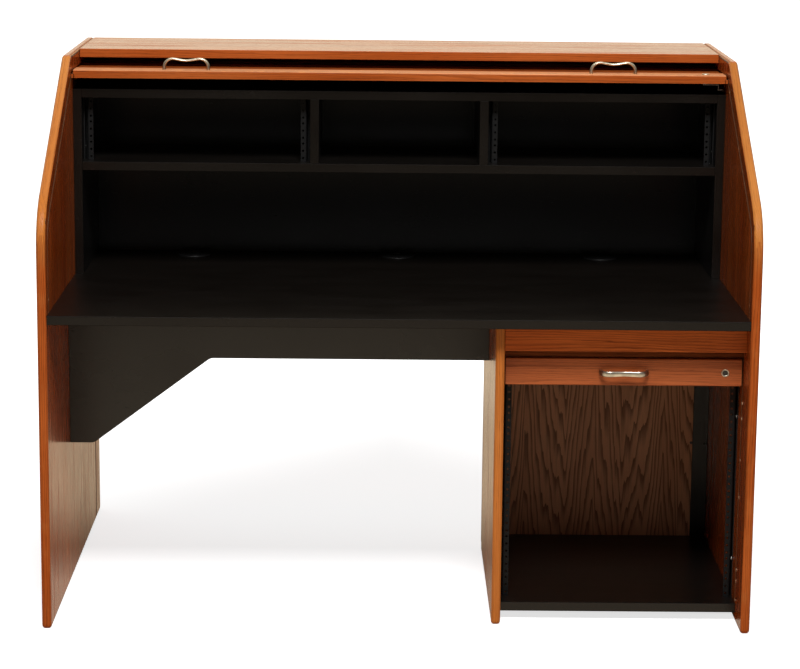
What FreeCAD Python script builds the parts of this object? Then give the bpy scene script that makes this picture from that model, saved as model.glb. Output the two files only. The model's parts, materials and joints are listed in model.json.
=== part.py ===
import FreeCAD, Part
import math
import os

from FreeCAD import Vector

# Roll-top studio desk. X runs to the right, depth runs from the front edge to
# the rear along +Y, Z is up. All sizes are in millimetres. Pieces are drawn with
# their depth counted from the front edge and centred when they are written.

# Carcass
WIDTH = 1460.0
DEPTH = 958.0
HEIGHT = 1138.0
PANEL_T = 19.0
EDGE_BEVEL = 4.0
TOE_R = 10.0
CREST_R = 28.0
REAR_TOP_R = 12.0
CREST_SETBACK = 483.2
SLOPE_RISE_SHARE = 0.5788
BEND_R = 130.0
REAR_INSET = 8.0

# Top, desktop, rear panel and modesty panel
TOP_BEHIND_CREST = 165.8
DESK_Z = 656.0
DESK_SETBACK = 6.0
DESK_REAR_GAP = 113.0
DESK_EDGE_R = 1.5
REAR_PANEL_H = 559.0
MODESTY_SETBACK = 372.0
MODESTY_DROP = 141.0
MODESTY_LEG_DROP = 331.0
MODESTY_LEG_W = 52.0
MODESTY_SLANT_W = 254.0
MODESTY_R = 22.0

# Hutch on the desktop
HUTCH_BEHIND_CREST = 24.8
HUTCH_REAR_GAP = 133.0
HUTCH_HEADROOM = 75.0
HUTCH_BAY_H = 140.0
HUTCH_BACK_T = 9.0

# Pedestal
GABLE_SETBACK = 52.0
GABLE_DEPTH = 568.0
FLOOR_Z = 38.0
FASCIA_SETBACK = 54.0
FASCIA_H = 54.0
PEDESTAL_BACK_T = 12.0
STILE_W = 35.0

# Rack rails, nineteen inch pattern
RACK_SPACING = 465.1
HUTCH_RACK_MARGIN = 16.2
PEDESTAL_RACK_MARGIN = 14.45
RACK_UNIT = 44.45
RACK_FIRST = 6.35
RACK_STEP = 15.875
RACK_HOLES_PER_UNIT = 3
RACK_HOLE_R = 2.6
PLAIN_HOLE_SIDES = 8
HUTCH_UNITS = 3
PEDESTAL_UNITS = 11
PEDESTAL_CLEAR_UNITS = 10
RACK_LIFT = 1.5
RAIL_T = 2.0
RAIL_LEG = 26.0
RAIL_WEB = 34.0
RAIL_HEEL = 8.0
RAIL_LIP = 5.2
RAIL_BEND_R = 3.0
RAIL_END_GAP = 0.3
HUTCH_RAIL_SETBACK = 34.0
PEDESTAL_RAIL_SETBACK = 90.0

# Tambour tracks and slats
TRACK_INSET = 40.0
TRACK_CREST_R = 60.0
TRACK_TURN_R = 60.0
TRACK_REAR_GAP = 90.0
GROOVE_W = 10.0
GROOVE_DEPTH = 9.0
SLAT_PITCH = 25.4
SLAT_T = 7.0
SLAT_GAP = 0.6
SLAT_CHAMFER = 1.5
SLAT_END_GAP = 1.0
CANVAS_T = 1.0
CANVAS_MARGIN = 12.0
MAIN_OPEN_LAP = 0.5
MAIN_TAIL_COVER = 20.0
BEND_SLAT_COUNT = 3
TURN_SLAT_COUNT = 3
CREST_SLAT_COUNT = 1
PEDESTAL_TRACK_D = 100.5
PEDESTAL_TRACK_DROP = 16.0
PEDESTAL_TRACK_R = 60.0
PEDESTAL_TRACK_END = 14.0
PEDESTAL_TAIL_COVER = 20.0
PEDESTAL_BEND_SLAT_COUNT = 3
PEDESTAL_TAIL_SLAT_COUNT = 2
CLOSE_GAP = 0.3

# Lead rails
LEAD_W = 57.0
LEAD_T = 17.4
LEAD_EDGE_R = 3.0
MAIN_LEAD_GAP = 0.8
PEDESTAL_LEAD_GAP = 2.0
TONGUE_T = 9.0

# Bow pulls; the peak and the sag are where the lines of the grip meet the legs and each other
PULL_SPACING = 96.0
PULL_PEAK = 27.1
PULL_SAG = 18.7
PULL_CORNER_R = 19.0
PULL_DIP_R = 60.0
PULL_FOOT_T = 9.0
PULL_FOOT_W = 10.0
PULL_GRIP_T = 4.6
PULL_GRIP_W = 7.5
PULL_TAPER = 34.0
PULL_SIDES = 8
PULL_TURN_STEP = math.radians(20.0)
PULL_EDGE_D = 28.5
MAIN_PULL_X = 464.0
SCREW_R = 2.0
SCREW_CLEAR = 0.15
SCREW_HEAD_R = 4.0
SCREW_HEAD_T = 2.5
SCREW_SIDES = 6
SCREW_BITE = 8.0

# Cam locks
LOCK_EDGE_D = 28.5
MAIN_LOCK_INSET = 46.0
PEDESTAL_LOCK_INSET = 37.5
LOCK_FACE_R = 8.2
LOCK_FACE_T = 1.5
LOCK_BODY_R = 7.5
LOCK_CLEAR = 0.3
LOCK_SIDES = 12
LOCK_TAIL = 3.0
PLUG_R = 5.2
KEY_SLOT_L = 6.0
KEY_SLOT_W = 1.2
KEY_SLOT_D = 4.0
CAM_T = 2.0
CAM_W = 11.0
CAM_GAP = 0.3
CAM_DROP = 11.0
CAM_TIP = 12.0
CAM_TIP_GAP = 7.0

# Cable grommets
GROMMET_REAR_GAP = 52.0
GROMMET_SPACING = 467.5
GROMMET_FLANGE_R = 38.0
GROMMET_FLANGE_T = 3.0
GROMMET_TUBE_R = 31.5
GROMMET_BORE_R = 29.5
GROMMET_LEDGE_W = 3.0
GROMMET_CLEAR = 0.3
GROMMET_SIDES = 24
CAP_NOTCH_W = 14.0
CAP_NOTCH_L = 16.0

# How far a cut runs past the face it goes through
OVERCUT = 1.0

# Runs of the main track, from its front end to its rear end
MAIN_RUNS = ("front", "bend", "slope", "crest", "top", "turn", "rear")

# Places worked out from the sizes above
HALF_W = WIDTH / 2
INNER_X = HALF_W - PANEL_T
DESK_UNDER_Z = DESK_Z - PANEL_T
TOP_REAR_D = DEPTH - REAR_INSET
TOP_FRONT_D = CREST_SETBACK + TOP_BEHIND_CREST
TOP_UNDER_Z = HEIGHT - PANEL_T
SLOPE_RISE = SLOPE_RISE_SHARE * (HEIGHT - DESK_Z)
SLOPE_START_Z = HEIGHT - SLOPE_RISE
SLOPE = math.atan2(SLOPE_RISE, CREST_SETBACK)
MAIN_OPEN_D = CREST_SETBACK - MAIN_OPEN_LAP
DESK_REAR_D = DEPTH - DESK_REAR_GAP
HUTCH_TOP_Z = HEIGHT - HUTCH_HEADROOM
HUTCH_CEILING_Z = HUTCH_TOP_Z - PANEL_T
HUTCH_SHELF_Z = HUTCH_CEILING_Z - HUTCH_BAY_H
HUTCH_SETBACK = CREST_SETBACK + HUTCH_BEHIND_CREST
HUTCH_REAR_D = DEPTH - HUTCH_REAR_GAP
HUTCH_INNER_X = INNER_X - PANEL_T
RACK_BAY_W = RACK_SPACING + 2 * HUTCH_RACK_MARGIN
PEDESTAL_W = RACK_SPACING + 2 * PEDESTAL_RACK_MARGIN
DIVIDER_X = HUTCH_INNER_X - RACK_BAY_W - PANEL_T
GABLE_INNER_X = INNER_X - PEDESTAL_W
GABLE_OUTER_X = GABLE_INNER_X - PANEL_T
GABLE_REAR_D = GABLE_SETBACK + GABLE_DEPTH
LEAD_BACK_N = (SLAT_T - LEAD_T) / 2
LEAD_FACE_N = LEAD_BACK_N + LEAD_T
FLOOR_SETBACK = PEDESTAL_TRACK_D - LEAD_T / 2
GROOVE_REACH = GROOVE_DEPTH - SLAT_END_GAP


def heading(start, end):
    return math.atan2(end[1] - start[1], end[0] - start[0])


def step(point, course, length):
    return (point[0] + length * math.cos(course), point[1] + length * math.sin(course))


class RoundedPath:
    """Straight runs joined by tangent arcs in a plane, followed by distance from the start."""

    def __init__(self, corners, radii):
        self.runs = []
        start = corners[0]
        for number, radius in enumerate(radii, start=1):
            into = heading(corners[number - 1], corners[number])
            out = heading(corners[number], corners[number + 1])
            turn = math.remainder(out - into, 2 * math.pi)
            reach = radius * math.tan(abs(turn) / 2)
            touch = step(corners[number], into, -reach)
            self.runs.append((start, into, math.dist(start, touch), 0.0))
            self.runs.append((touch, into, radius * abs(turn), turn))
            start = step(corners[number], out, reach)
        course = heading(corners[-2], corners[-1])
        self.runs.append((start, course, math.dist(start, corners[-1]), 0.0))

    def start_of(self, number):
        return sum(run[2] for run in self.runs[:number])

    def locate(self, distance):
        """The point, heading and run number at a distance from the start."""
        number = 0
        while number < len(self.runs) - 1 and distance > self.runs[number][2]:
            distance -= self.runs[number][2]
            number += 1
        start, course, length, turn = self.runs[number]
        if not turn:
            return step(start, course, distance), course, number
        radius = length / turn
        here = course + turn * distance / length
        across = radius * (math.sin(here) - math.sin(course))
        along = radius * (math.cos(course) - math.cos(here))
        return (start[0] + across, start[1] + along), here, number

    def stations(self, turn_step):
        """Distances at the ends of the runs and at even steps round the arcs."""
        marks = [0.0]
        for _, _, length, turn in self.runs:
            count = max(1, math.ceil(abs(turn) / turn_step))
            begun = marks[-1]
            marks += [begun + length * number / count for number in range(1, count + 1)]
        return marks

    def wire(self, place):
        edges = []
        begun = 0.0
        for start, course, length, turn in self.runs:
            ends = [place(start), place(self.locate(begun + length)[0])]
            if turn:
                middle = place(self.locate(begun + length / 2)[0])
                edges.append(Part.Arc(ends[0], middle, ends[1]).toShape())
            else:
                edges.append(Part.LineSegment(*ends).toShape())
            begun += length
        return Part.Wire(edges)


def side_plane(x):
    return lambda point: Vector(x, point[0], point[1])


def front_plane(depth):
    return lambda point: Vector(point[0], depth, point[1])


def floor_plane(z):
    return lambda point: Vector(point[0], point[1], z)


def box(x0, x1, d0, d1, z0, z1):
    return Part.makeBox(x1 - x0, d1 - d0, z1 - z0, Vector(x0, d0, z0))


def rounded_prism(corners, radii, place, sweep):
    """A closed outline, each corner rounded by its radius, swept along a vector."""
    edges = []
    joints = []
    for number, corner in enumerate(corners):
        before = heading(corner, corners[number - 1])
        after = heading(corner, corners[(number + 1) % len(corners)])
        half = abs(math.remainder(after - before, 2 * math.pi)) / 2
        middle = before + math.remainder(after - before, 2 * math.pi) / 2
        radius = radii[number]
        reach = radius / math.tan(half)
        near = step(corner, middle, radius / math.sin(half) - radius)
        joints.append((step(corner, before, reach), near, step(corner, after, reach)))
    for number, (first, near, last) in enumerate(joints):
        if radii[number] > 0:
            edges.append(Part.Arc(place(first), place(near), place(last)).toShape())
        following = joints[(number + 1) % len(joints)][0]
        edges.append(Part.LineSegment(place(last), place(following)).toShape())
    return Part.Face(Part.Wire(edges)).extrude(sweep)


def sharp_prism(corners, place, sweep):
    points = [place(corner) for corner in corners]
    return Part.Face(Part.makePolygon(points + points[:1])).extrude(sweep)


def edges_along(shape, axis, places):
    """The edges of a shape that keep one coordinate at one of the given places."""
    found = []
    for edge in shape.Edges:
        values = [getattr(point, axis) for point in edge.discretize(3)]
        for place in places:
            if all(abs(value - place) < 1e-6 for value in values):
                found.append(edge)
    return found


def ring_points(centre, radius, sides):
    """Corners of a regular outline about a centre, with a flat side to the right."""
    turns = [2 * math.pi * (side + 0.5) / sides for side in range(sides)]
    return [step(centre, turn, radius) for turn in turns]


def upright(centre, radius, z0, z1):
    return Part.makeCylinder(radius, z1 - z0, floor_plane(z0)(centre))


def many_sided(centre, radius, sides, z0, z1):
    """An upright bar with a regular outline whose flats stand off the centre by the radius."""
    corners = ring_points(centre, radius / math.cos(math.pi / sides), sides)
    return sharp_prism(corners, floor_plane(z0), Vector(0, 0, z1 - z0))


# Tambour tracks


def main_track(inset):
    """The path of the main curtain, set in from the outline of the side panels."""
    inward = inset - TRACK_INSET
    bend_z = SLOPE_START_Z + inset * (math.tan(SLOPE) - 1 / math.cos(SLOPE))
    top_z = HEIGHT - inset
    crest_d = (top_z - SLOPE_START_Z + inset / math.cos(SLOPE)) / math.tan(SLOPE)
    rear_d = DEPTH - TRACK_REAR_GAP - inward
    corners = [(inset, DESK_Z), (inset, bend_z), (crest_d, top_z), (rear_d, top_z), (rear_d, 0.0)]
    return RoundedPath(corners, [BEND_R - inset, TRACK_CREST_R - inward, TRACK_TURN_R - inward])


def pedestal_track(inward):
    """The path of the pedestal's curtain, moved inward from the middle of its groove."""
    front_d = PEDESTAL_TRACK_D + inward
    top_z = DESK_UNDER_Z - PEDESTAL_TRACK_DROP - inward
    rear_d = GABLE_REAR_D - PEDESTAL_TRACK_END
    corners = [(front_d, FLOOR_Z), (front_d, top_z), (rear_d, top_z)]
    return RoundedPath(corners, [PEDESTAL_TRACK_R - inward])


def groove(path, face_x, side):
    """The cut for a track in a panel whose inner face is at face_x and looks to the side."""
    start, course, _, _ = path.runs[0]
    near = step(start, course + math.pi / 2, GROOVE_W / 2)
    far = step(start, course - math.pi / 2, GROOVE_W / 2)
    outside = side_plane(face_x + side * OVERCUT)
    inside = side_plane(face_x - side * GROOVE_DEPTH)
    profile = Part.makePolygon([outside(near), outside(far), inside(far), inside(near), outside(near)])
    return path.wire(side_plane(face_x)).makePipeShell([profile], True, False)


def seated(shape, path, distance):
    """A piece drawn flat along +Y, moved to its place and heading on a track."""
    point, course, _ = path.locate(distance)
    moved = shape.copy()
    moved.rotate(Vector(0, 0, 0), Vector(1, 0, 0), math.degrees(course))
    moved.translate(Vector(0, point[0], point[1]))
    return moved


class Curtain:
    """A tambour: where its lead rail and slats lie on the track, open and closed."""

    def __init__(self, name, path, lead_open, cover, x0, x1):
        self.name = name
        self.path = path
        self.lead_open = lead_open
        self.lead_closed = CLOSE_GAP
        self.count = math.ceil((cover - LEAD_W) / SLAT_PITCH)
        self.x0 = x0
        self.x1 = x1

    def middle(self, number, lead):
        return lead + LEAD_W + (number - 0.5) * SLAT_PITCH

    def first_near(self, run, lead, count):
        """The first of a count of slats about the middle of a curved run, for a place of the lead."""
        run_middle = self.path.start_of(run) + self.path.runs[run][2] / 2
        nearest = (run_middle - lead - LEAD_W) / SLAT_PITCH + 0.5
        return round(nearest - (count - 1) / 2)

    def groups(self):
        """The slats of each node: rows that stay straight, and single slats at the bends."""
        found = {}
        number = 1
        for row, bend, count, first in self.bends():
            if row:
                first = max(first, number + 1)
                found[f"{self.name}_{row}_slats"] = range(number, first)
            for single in range(count):
                found[f"{self.name}_{bend}_slat_{single + 1}"] = [first + single]
            number = first + count
        if number <= self.count:
            found[f"{self.name}_tail_slats"] = range(number, self.count + 1)
        return found

    def slat(self):
        half = (SLAT_PITCH - SLAT_GAP) / 2
        corners = [
            (-half, 0),
            (half, 0),
            (half, SLAT_T - SLAT_CHAMFER),
            (half - SLAT_CHAMFER, SLAT_T),
            (SLAT_CHAMFER - half, SLAT_T),
            (-half, SLAT_T - SLAT_CHAMFER),
        ]
        x0 = self.x0 - GROOVE_REACH
        return sharp_prism(corners, side_plane(x0), Vector(self.x1 + GROOVE_REACH - x0, 0, 0))

    def canvas(self, length):
        half = (length - SLAT_GAP) / 2
        return box(self.x0 + CANVAS_MARGIN, self.x1 - CANVAS_MARGIN, -half, half, -CANVAS_T, 0)

    def pieces(self, group):
        middles = [self.middle(number, self.lead_open) for number in group]
        solids = [seated(self.slat(), self.path, middle) for middle in middles]
        centre = (middles[0] + middles[-1]) / 2
        solids.append(seated(self.canvas(len(group) * SLAT_PITCH), self.path, centre))
        return Part.makeCompound(solids)


class MainCurtain(Curtain):
    def __init__(self):
        path = main_track(TRACK_INSET + SLAT_T / 2)
        top = MAIN_RUNS.index("top")
        start = path.start_of(top) - path.runs[top][0][0]
        cover = start + TOP_FRONT_D + MAIN_TAIL_COVER
        super().__init__("main", path, start + MAIN_OPEN_D, cover, -INNER_X, INNER_X)

    def bends(self):
        """Each row of slats, and the single slats after it that bend, open or closed."""
        bend = self.first_near(MAIN_RUNS.index("bend"), self.lead_closed, BEND_SLAT_COUNT)
        turn = self.first_near(MAIN_RUNS.index("turn"), self.lead_open, TURN_SLAT_COUNT)
        crest = self.first_near(MAIN_RUNS.index("crest"), self.lead_closed, CREST_SLAT_COUNT)
        return [
            ("front", "bend", BEND_SLAT_COUNT, bend),
            ("slope", "turn", TURN_SLAT_COUNT, turn),
            ("rear", "crest", CREST_SLAT_COUNT, crest),
        ]


class PedestalCurtain(Curtain):
    def __init__(self):
        path = pedestal_track(SLAT_T / 2)
        lead_open = path.runs[0][2] - LEAD_W
        cover = DESK_UNDER_Z - FASCIA_H - FLOOR_Z + PEDESTAL_TAIL_COVER
        super().__init__("pedestal", path, lead_open, cover, GABLE_INNER_X, INNER_X)

    def bends(self):
        """The slats that bend round the top when open, the row behind them, and its end."""
        tail = self.count - PEDESTAL_TAIL_SLAT_COUNT + 1
        return [
            ("", "bend", PEDESTAL_BEND_SLAT_COUNT, 1),
            ("row", "tail", PEDESTAL_TAIL_SLAT_COUNT, tail),
        ]


# Carcass panels


def side_panel(side):
    """A side panel, outer face at the desk's side, with its tambour grooves."""
    corners = [(0, 0), (0, SLOPE_START_Z), (CREST_SETBACK, HEIGHT), (DEPTH, HEIGHT), (DEPTH, 0)]
    radii = [TOE_R, BEND_R, CREST_R, REAR_TOP_R, TOE_R]
    outer_x = side * HALF_W
    inner_x = side * INNER_X
    panel = rounded_prism(corners, radii, side_plane(outer_x), Vector(inner_x - outer_x, 0, 0))
    panel = panel.makeChamfer(EDGE_BEVEL, edges_along(panel, "x", [outer_x, inner_x]))
    panel = panel.cut(groove(main_track(TRACK_INSET), inner_x, -side))
    if side > 0:
        panel = panel.cut(groove(pedestal_track(0), inner_x, -side))
    return panel


def top_panel():
    return box(-INNER_X, INNER_X, TOP_FRONT_D, TOP_REAR_D, TOP_UNDER_Z, HEIGHT)


def rear_panel():
    return box(-INNER_X, INNER_X, TOP_REAR_D - PANEL_T, TOP_REAR_D, TOP_UNDER_Z - REAR_PANEL_H, TOP_UNDER_Z)


def desktop():
    slab = box(-INNER_X, INNER_X, DESK_SETBACK, DESK_REAR_D, DESK_UNDER_Z, DESK_Z)
    front = [edge for edge in edges_along(slab, "y", [DESK_SETBACK]) if edge.Length > PANEL_T]
    slab = slab.makeFillet(DESK_EDGE_R, front)
    hole_r = GROMMET_TUBE_R / math.cos(math.pi / GROMMET_SIDES) + GROMMET_CLEAR
    for x in grommet_places():
        centre = (x, grommet_depth())
        slab = slab.cut(upright(centre, hole_r, DESK_UNDER_Z - OVERCUT, DESK_Z + OVERCUT))
    return slab


def modesty_panel():
    low = DESK_UNDER_Z - MODESTY_LEG_DROP
    high = DESK_UNDER_Z - MODESTY_DROP
    slant_x = MODESTY_LEG_W - INNER_X
    corners = [
        (-INNER_X, DESK_UNDER_Z),
        (-INNER_X, low),
        (slant_x, low),
        (slant_x + MODESTY_SLANT_W, high),
        (GABLE_OUTER_X, high),
        (GABLE_OUTER_X, DESK_UNDER_Z),
    ]
    radii = [0, 0, MODESTY_R, MODESTY_R, 0, 0]
    return rounded_prism(corners, radii, front_plane(MODESTY_SETBACK), Vector(0, PANEL_T, 0))


# Hutch


def hutch_side(side):
    xs = sorted([side * INNER_X, side * HUTCH_INNER_X])
    return box(*xs, HUTCH_SETBACK, HUTCH_REAR_D, DESK_Z, HUTCH_TOP_Z)


def hutch_board(top_z):
    return box(-HUTCH_INNER_X, HUTCH_INNER_X, HUTCH_SETBACK, HUTCH_REAR_D, top_z - PANEL_T, top_z)


def hutch_divider(side):
    xs = sorted([side * DIVIDER_X, side * (DIVIDER_X + PANEL_T)])
    return box(*xs, HUTCH_SETBACK, HUTCH_REAR_D, HUTCH_SHELF_Z, HUTCH_CEILING_Z)


def hutch_back():
    rear = HUTCH_REAR_D + HUTCH_BACK_T
    return box(-INNER_X, INNER_X, HUTCH_REAR_D, rear, DESK_Z, HUTCH_TOP_Z)


# Pedestal


def pedestal_gable():
    corners = [
        (GABLE_SETBACK, 0),
        (GABLE_SETBACK, DESK_UNDER_Z),
        (GABLE_REAR_D, DESK_UNDER_Z),
        (GABLE_REAR_D, 0),
    ]
    sweep = Vector(PANEL_T, 0, 0)
    gable = rounded_prism(corners, [TOE_R, 0, 0, TOE_R], side_plane(GABLE_OUTER_X), sweep)
    rim = edges_along(gable, "x", [GABLE_OUTER_X, GABLE_INNER_X])
    rim = [edge for edge in rim if edge.BoundBox.ZMin < DESK_UNDER_Z - TOE_R]
    rim = [edge for edge in rim if edge.BoundBox.YMin < GABLE_REAR_D - TOE_R]
    gable = gable.makeChamfer(EDGE_BEVEL, rim)
    return gable.cut(groove(pedestal_track(0), GABLE_INNER_X, 1))


def pedestal_floor():
    return box(GABLE_INNER_X, INNER_X, FLOOR_SETBACK, GABLE_REAR_D, FLOOR_Z - PANEL_T, FLOOR_Z)


def pedestal_fascia():
    rear = FASCIA_SETBACK + PANEL_T
    return box(GABLE_INNER_X, INNER_X, FASCIA_SETBACK, rear, DESK_UNDER_Z - FASCIA_H, DESK_UNDER_Z)


def pedestal_back():
    rear = GABLE_REAR_D + PEDESTAL_BACK_T
    return box(GABLE_OUTER_X, INNER_X - STILE_W, GABLE_REAR_D, rear, FLOOR_Z - PANEL_T, DESK_UNDER_Z)


def pedestal_rear_stile():
    rear = GABLE_REAR_D + PANEL_T
    return box(INNER_X - STILE_W, INNER_X, GABLE_REAR_D, rear, FLOOR_Z - PANEL_T, DESK_UNDER_Z)


# Rack rails


def rack_heights(base_z, units):
    """Heights of the holes from the lowest up: three in each rack unit."""
    starts = [base_z + unit * RACK_UNIT + RACK_FIRST for unit in range(units)]
    return [start + hole * RACK_STEP for start in starts for hole in range(RACK_HOLES_PER_UNIT)]


def rack_hole(x, depth, z, is_round):
    """A hole through a rail: round where equipment bolts on, many-sided between."""
    start = Vector(x, depth - OVERCUT, z)
    length = RAIL_T + 2 * OVERCUT
    if is_round:
        return Part.makeCylinder(RACK_HOLE_R, length, start, Vector(0, 1, 0))
    corners = ring_points((x, z), RACK_HOLE_R, PLAIN_HOLE_SIDES)
    return sharp_prism(corners, front_plane(depth - OVERCUT), Vector(0, length, 0))


def rack_rail(wall_x, hole_x, depth, z0, z1, heights, round_heights):
    """A bent strip: a leg on the wall, a turn at the rear and a drilled flange clear of the wall."""
    side = math.copysign(1, hole_x - wall_x)
    leg_x = wall_x + side * RAIL_T
    heel_x = hole_x - side * RAIL_HEEL
    web_x = heel_x + side * RAIL_T
    lip_x = hole_x + side * RAIL_LIP
    rear = depth + RAIL_WEB
    corners = [
        (heel_x, depth),
        (lip_x, depth),
        (lip_x, depth + RAIL_T),
        (web_x, depth + RAIL_T),
        (web_x, rear),
        (wall_x, rear),
        (wall_x, rear - RAIL_LEG),
        (leg_x, rear - RAIL_LEG),
        (leg_x, rear - RAIL_T),
        (heel_x, rear - RAIL_T),
    ]
    radii = [RAIL_BEND_R, 0, 0, 0, RAIL_BEND_R, 0, 0, 0, 0, 0]
    rail = rounded_prism(corners, radii, floor_plane(z0), Vector(0, 0, z1 - z0))
    holes = [rack_hole(hole_x, depth, z, z in round_heights) for z in heights]
    return rail.cut(Part.makeCompound(holes))


def rack_rails(x0, x1, depth, base_z, z1, units, clear_units):
    """The pair of rails of one bay between two walls."""
    middle = (x0 + x1) / 2
    heights = rack_heights(base_z + RACK_LIFT, units)
    outermost = [heights[0], heights[clear_units * RACK_HOLES_PER_UNIT - 1]]
    places = [(x0, middle - RACK_SPACING / 2), (x1, middle + RACK_SPACING / 2)]
    z0 = base_z + RAIL_END_GAP
    return Part.makeCompound([rack_rail(*place, depth, z0, z1, heights, outermost) for place in places])


def hutch_rails(side):
    xs = sorted([side * HUTCH_INNER_X, side * (DIVIDER_X + PANEL_T)])
    depth = HUTCH_SETBACK + HUTCH_RAIL_SETBACK
    top = HUTCH_CEILING_Z - RAIL_END_GAP
    return rack_rails(*xs, depth, HUTCH_SHELF_Z, top, HUTCH_UNITS, HUTCH_UNITS)


def pedestal_rails():
    depth = GABLE_SETBACK + PEDESTAL_RAIL_SETBACK
    top = FLOOR_Z + RACK_LIFT + PEDESTAL_UNITS * RACK_UNIT
    return rack_rails(GABLE_INNER_X, INNER_X, depth, FLOOR_Z, top, PEDESTAL_UNITS, PEDESTAL_CLEAR_UNITS)


# Cable grommets


def grommet_places():
    return [-GROMMET_SPACING, 0.0, GROMMET_SPACING]


def grommet_depth():
    return HUTCH_REAR_D - GROMMET_REAR_GAP


def grommet_bar(x, radius, z0, z1):
    return many_sided((x, grommet_depth()), radius, GROMMET_SIDES, z0, z1)


def grommet_sleeve(x):
    """A flanged sleeve through the desktop, with a ledge that carries the cap."""
    top = DESK_Z + GROMMET_FLANGE_T
    low = DESK_UNDER_Z - GROMMET_FLANGE_T
    tube = grommet_bar(x, GROMMET_TUBE_R, low, DESK_Z)
    sleeve = tube.fuse(grommet_bar(x, GROMMET_FLANGE_R, DESK_Z, top)).removeSplitter()
    sleeve = sleeve.cut(grommet_bar(x, GROMMET_BORE_R - GROMMET_LEDGE_W, low - OVERCUT, top))
    return sleeve.cut(grommet_bar(x, GROMMET_BORE_R, DESK_Z, top + OVERCUT))


def grommet_cap(x):
    """The loose cap that turns in its sleeve, with a notch for cables at its rear."""
    low = DESK_Z + GROMMET_CLEAR
    top = DESK_Z + GROMMET_FLANGE_T
    rim = grommet_depth() + GROMMET_BORE_R
    radius = (GROMMET_BORE_R - GROMMET_CLEAR) * math.cos(math.pi / GROMMET_SIDES)
    half = CAP_NOTCH_W / 2
    notch = box(x - half, x + half, rim - CAP_NOTCH_L, rim + OVERCUT, low - OVERCUT, top + OVERCUT)
    return grommet_bar(x, radius, low, top).cut(notch)


# Lead rails with their pulls and locks, drawn flat with the leading edge at depth 0


def lead_rail(x0, x1, tongue, pulls, lock_x):
    rail = box(x0, x1, 0, LEAD_W, LEAD_BACK_N, LEAD_FACE_N)
    face = [edge for edge in edges_along(rail, "z", [LEAD_FACE_N]) if edge.Length > LEAD_W]
    rail = rail.makeFillet(LEAD_EDGE_R, face)
    if tongue:
        n0 = (SLAT_T - TONGUE_T) / 2
        rail = rail.fuse(box(x0 - tongue, x1 + tongue, 0, LEAD_W, n0, n0 + TONGUE_T)).removeSplitter()
    back = LEAD_BACK_N - OVERCUT
    for x in foot_places(pulls):
        rail = rail.cut(screw_bar(x, SCREW_R + SCREW_CLEAR, back, LEAD_T + 2 * OVERCUT))
    hole_r = LOCK_BODY_R / math.cos(math.pi / LOCK_SIDES) + LOCK_CLEAR
    return rail.cut(upright((lock_x, LOCK_EDGE_D), hole_r, back, LEAD_FACE_N + OVERCUT))


def foot_places(pulls):
    return [x + side * PULL_SPACING / 2 for x in pulls for side in (-1, 1)]


def pull_section(path, distance):
    """The outline of a pull at a distance along it: stout at the feet, slim in the grip."""
    length = path.start_of(len(path.runs))
    reach = min(distance, length - distance)
    stout = max(0.0, 1 - reach / PULL_TAPER)
    wide = 1 - 2 * reach / length
    half_t = (PULL_GRIP_T + stout * (PULL_FOOT_T - PULL_GRIP_T)) / 2
    half_w = (PULL_GRIP_W + wide * (PULL_FOOT_W - PULL_GRIP_W)) / 2
    point, course, _ = path.locate(distance)
    corners = []
    for a, b in ring_points((0, 0), 1 / math.cos(math.pi / PULL_SIDES), PULL_SIDES):
        corners.append(front_plane(PULL_EDGE_D + b * half_w)(step(point, course + math.pi / 2, a * half_t)))
    return Part.makePolygon(corners + corners[:1])


def bow_pull(x):
    """A cast bow handle with a dip in the middle of its grip."""
    foot = PULL_SPACING / 2
    peak = LEAD_FACE_N + PULL_PEAK
    sag = LEAD_FACE_N + PULL_SAG
    corners = [(x - foot, LEAD_FACE_N), (x - foot, peak), (x, sag), (x + foot, peak), (x + foot, LEAD_FACE_N)]
    path = RoundedPath(corners, [PULL_CORNER_R, PULL_DIP_R, PULL_CORNER_R])
    sections = [pull_section(path, distance) for distance in path.stations(PULL_TURN_STEP)]
    pull = Part.makeLoft(sections, True, True)
    bite = SCREW_BITE + 2 * OVERCUT
    for foot_x in foot_places([x]):
        pull = pull.cut(screw_bar(foot_x, SCREW_R + SCREW_CLEAR, LEAD_FACE_N - OVERCUT, bite))
    return pull


def screw_bar(x, radius, n0, length):
    corners = ring_points((x, PULL_EDGE_D), radius, SCREW_SIDES)
    return sharp_prism(corners, floor_plane(n0), Vector(0, 0, length))


def pull_screw(x):
    head = screw_bar(x, SCREW_HEAD_R, LEAD_BACK_N - SCREW_HEAD_T, SCREW_HEAD_T)
    shank = screw_bar(x, SCREW_R, LEAD_BACK_N - SCREW_HEAD_T, SCREW_HEAD_T + LEAD_T + SCREW_BITE)
    return head.fuse(shank).removeSplitter()


def lock_bar(x, radius, n0, n1):
    return many_sided((x, LOCK_EDGE_D), radius, LOCK_SIDES, n0, n1)


def lock_barrel(x):
    tail = LEAD_BACK_N - LOCK_TAIL
    face = LEAD_FACE_N + LOCK_FACE_T
    body = lock_bar(x, LOCK_BODY_R, tail, LEAD_FACE_N)
    barrel = body.fuse(lock_bar(x, LOCK_FACE_R, LEAD_FACE_N, face)).removeSplitter()
    return barrel.cut(lock_bar(x, PLUG_R + LOCK_CLEAR, tail - OVERCUT, face + OVERCUT))


def lock_plug(x):
    """The turning core of the lock, with its key slot."""
    tail = LEAD_BACK_N - LOCK_TAIL - CAM_GAP
    face = LEAD_FACE_N + LOCK_FACE_T
    core = lock_bar(x, PLUG_R * math.cos(math.pi / LOCK_SIDES), tail, face)
    slot = box(
        x - KEY_SLOT_W / 2,
        x + KEY_SLOT_W / 2,
        LOCK_EDGE_D - KEY_SLOT_L / 2,
        LOCK_EDGE_D + KEY_SLOT_L / 2,
        face - KEY_SLOT_D,
        face + OVERCUT,
    )
    return core.cut(slot)


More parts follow.
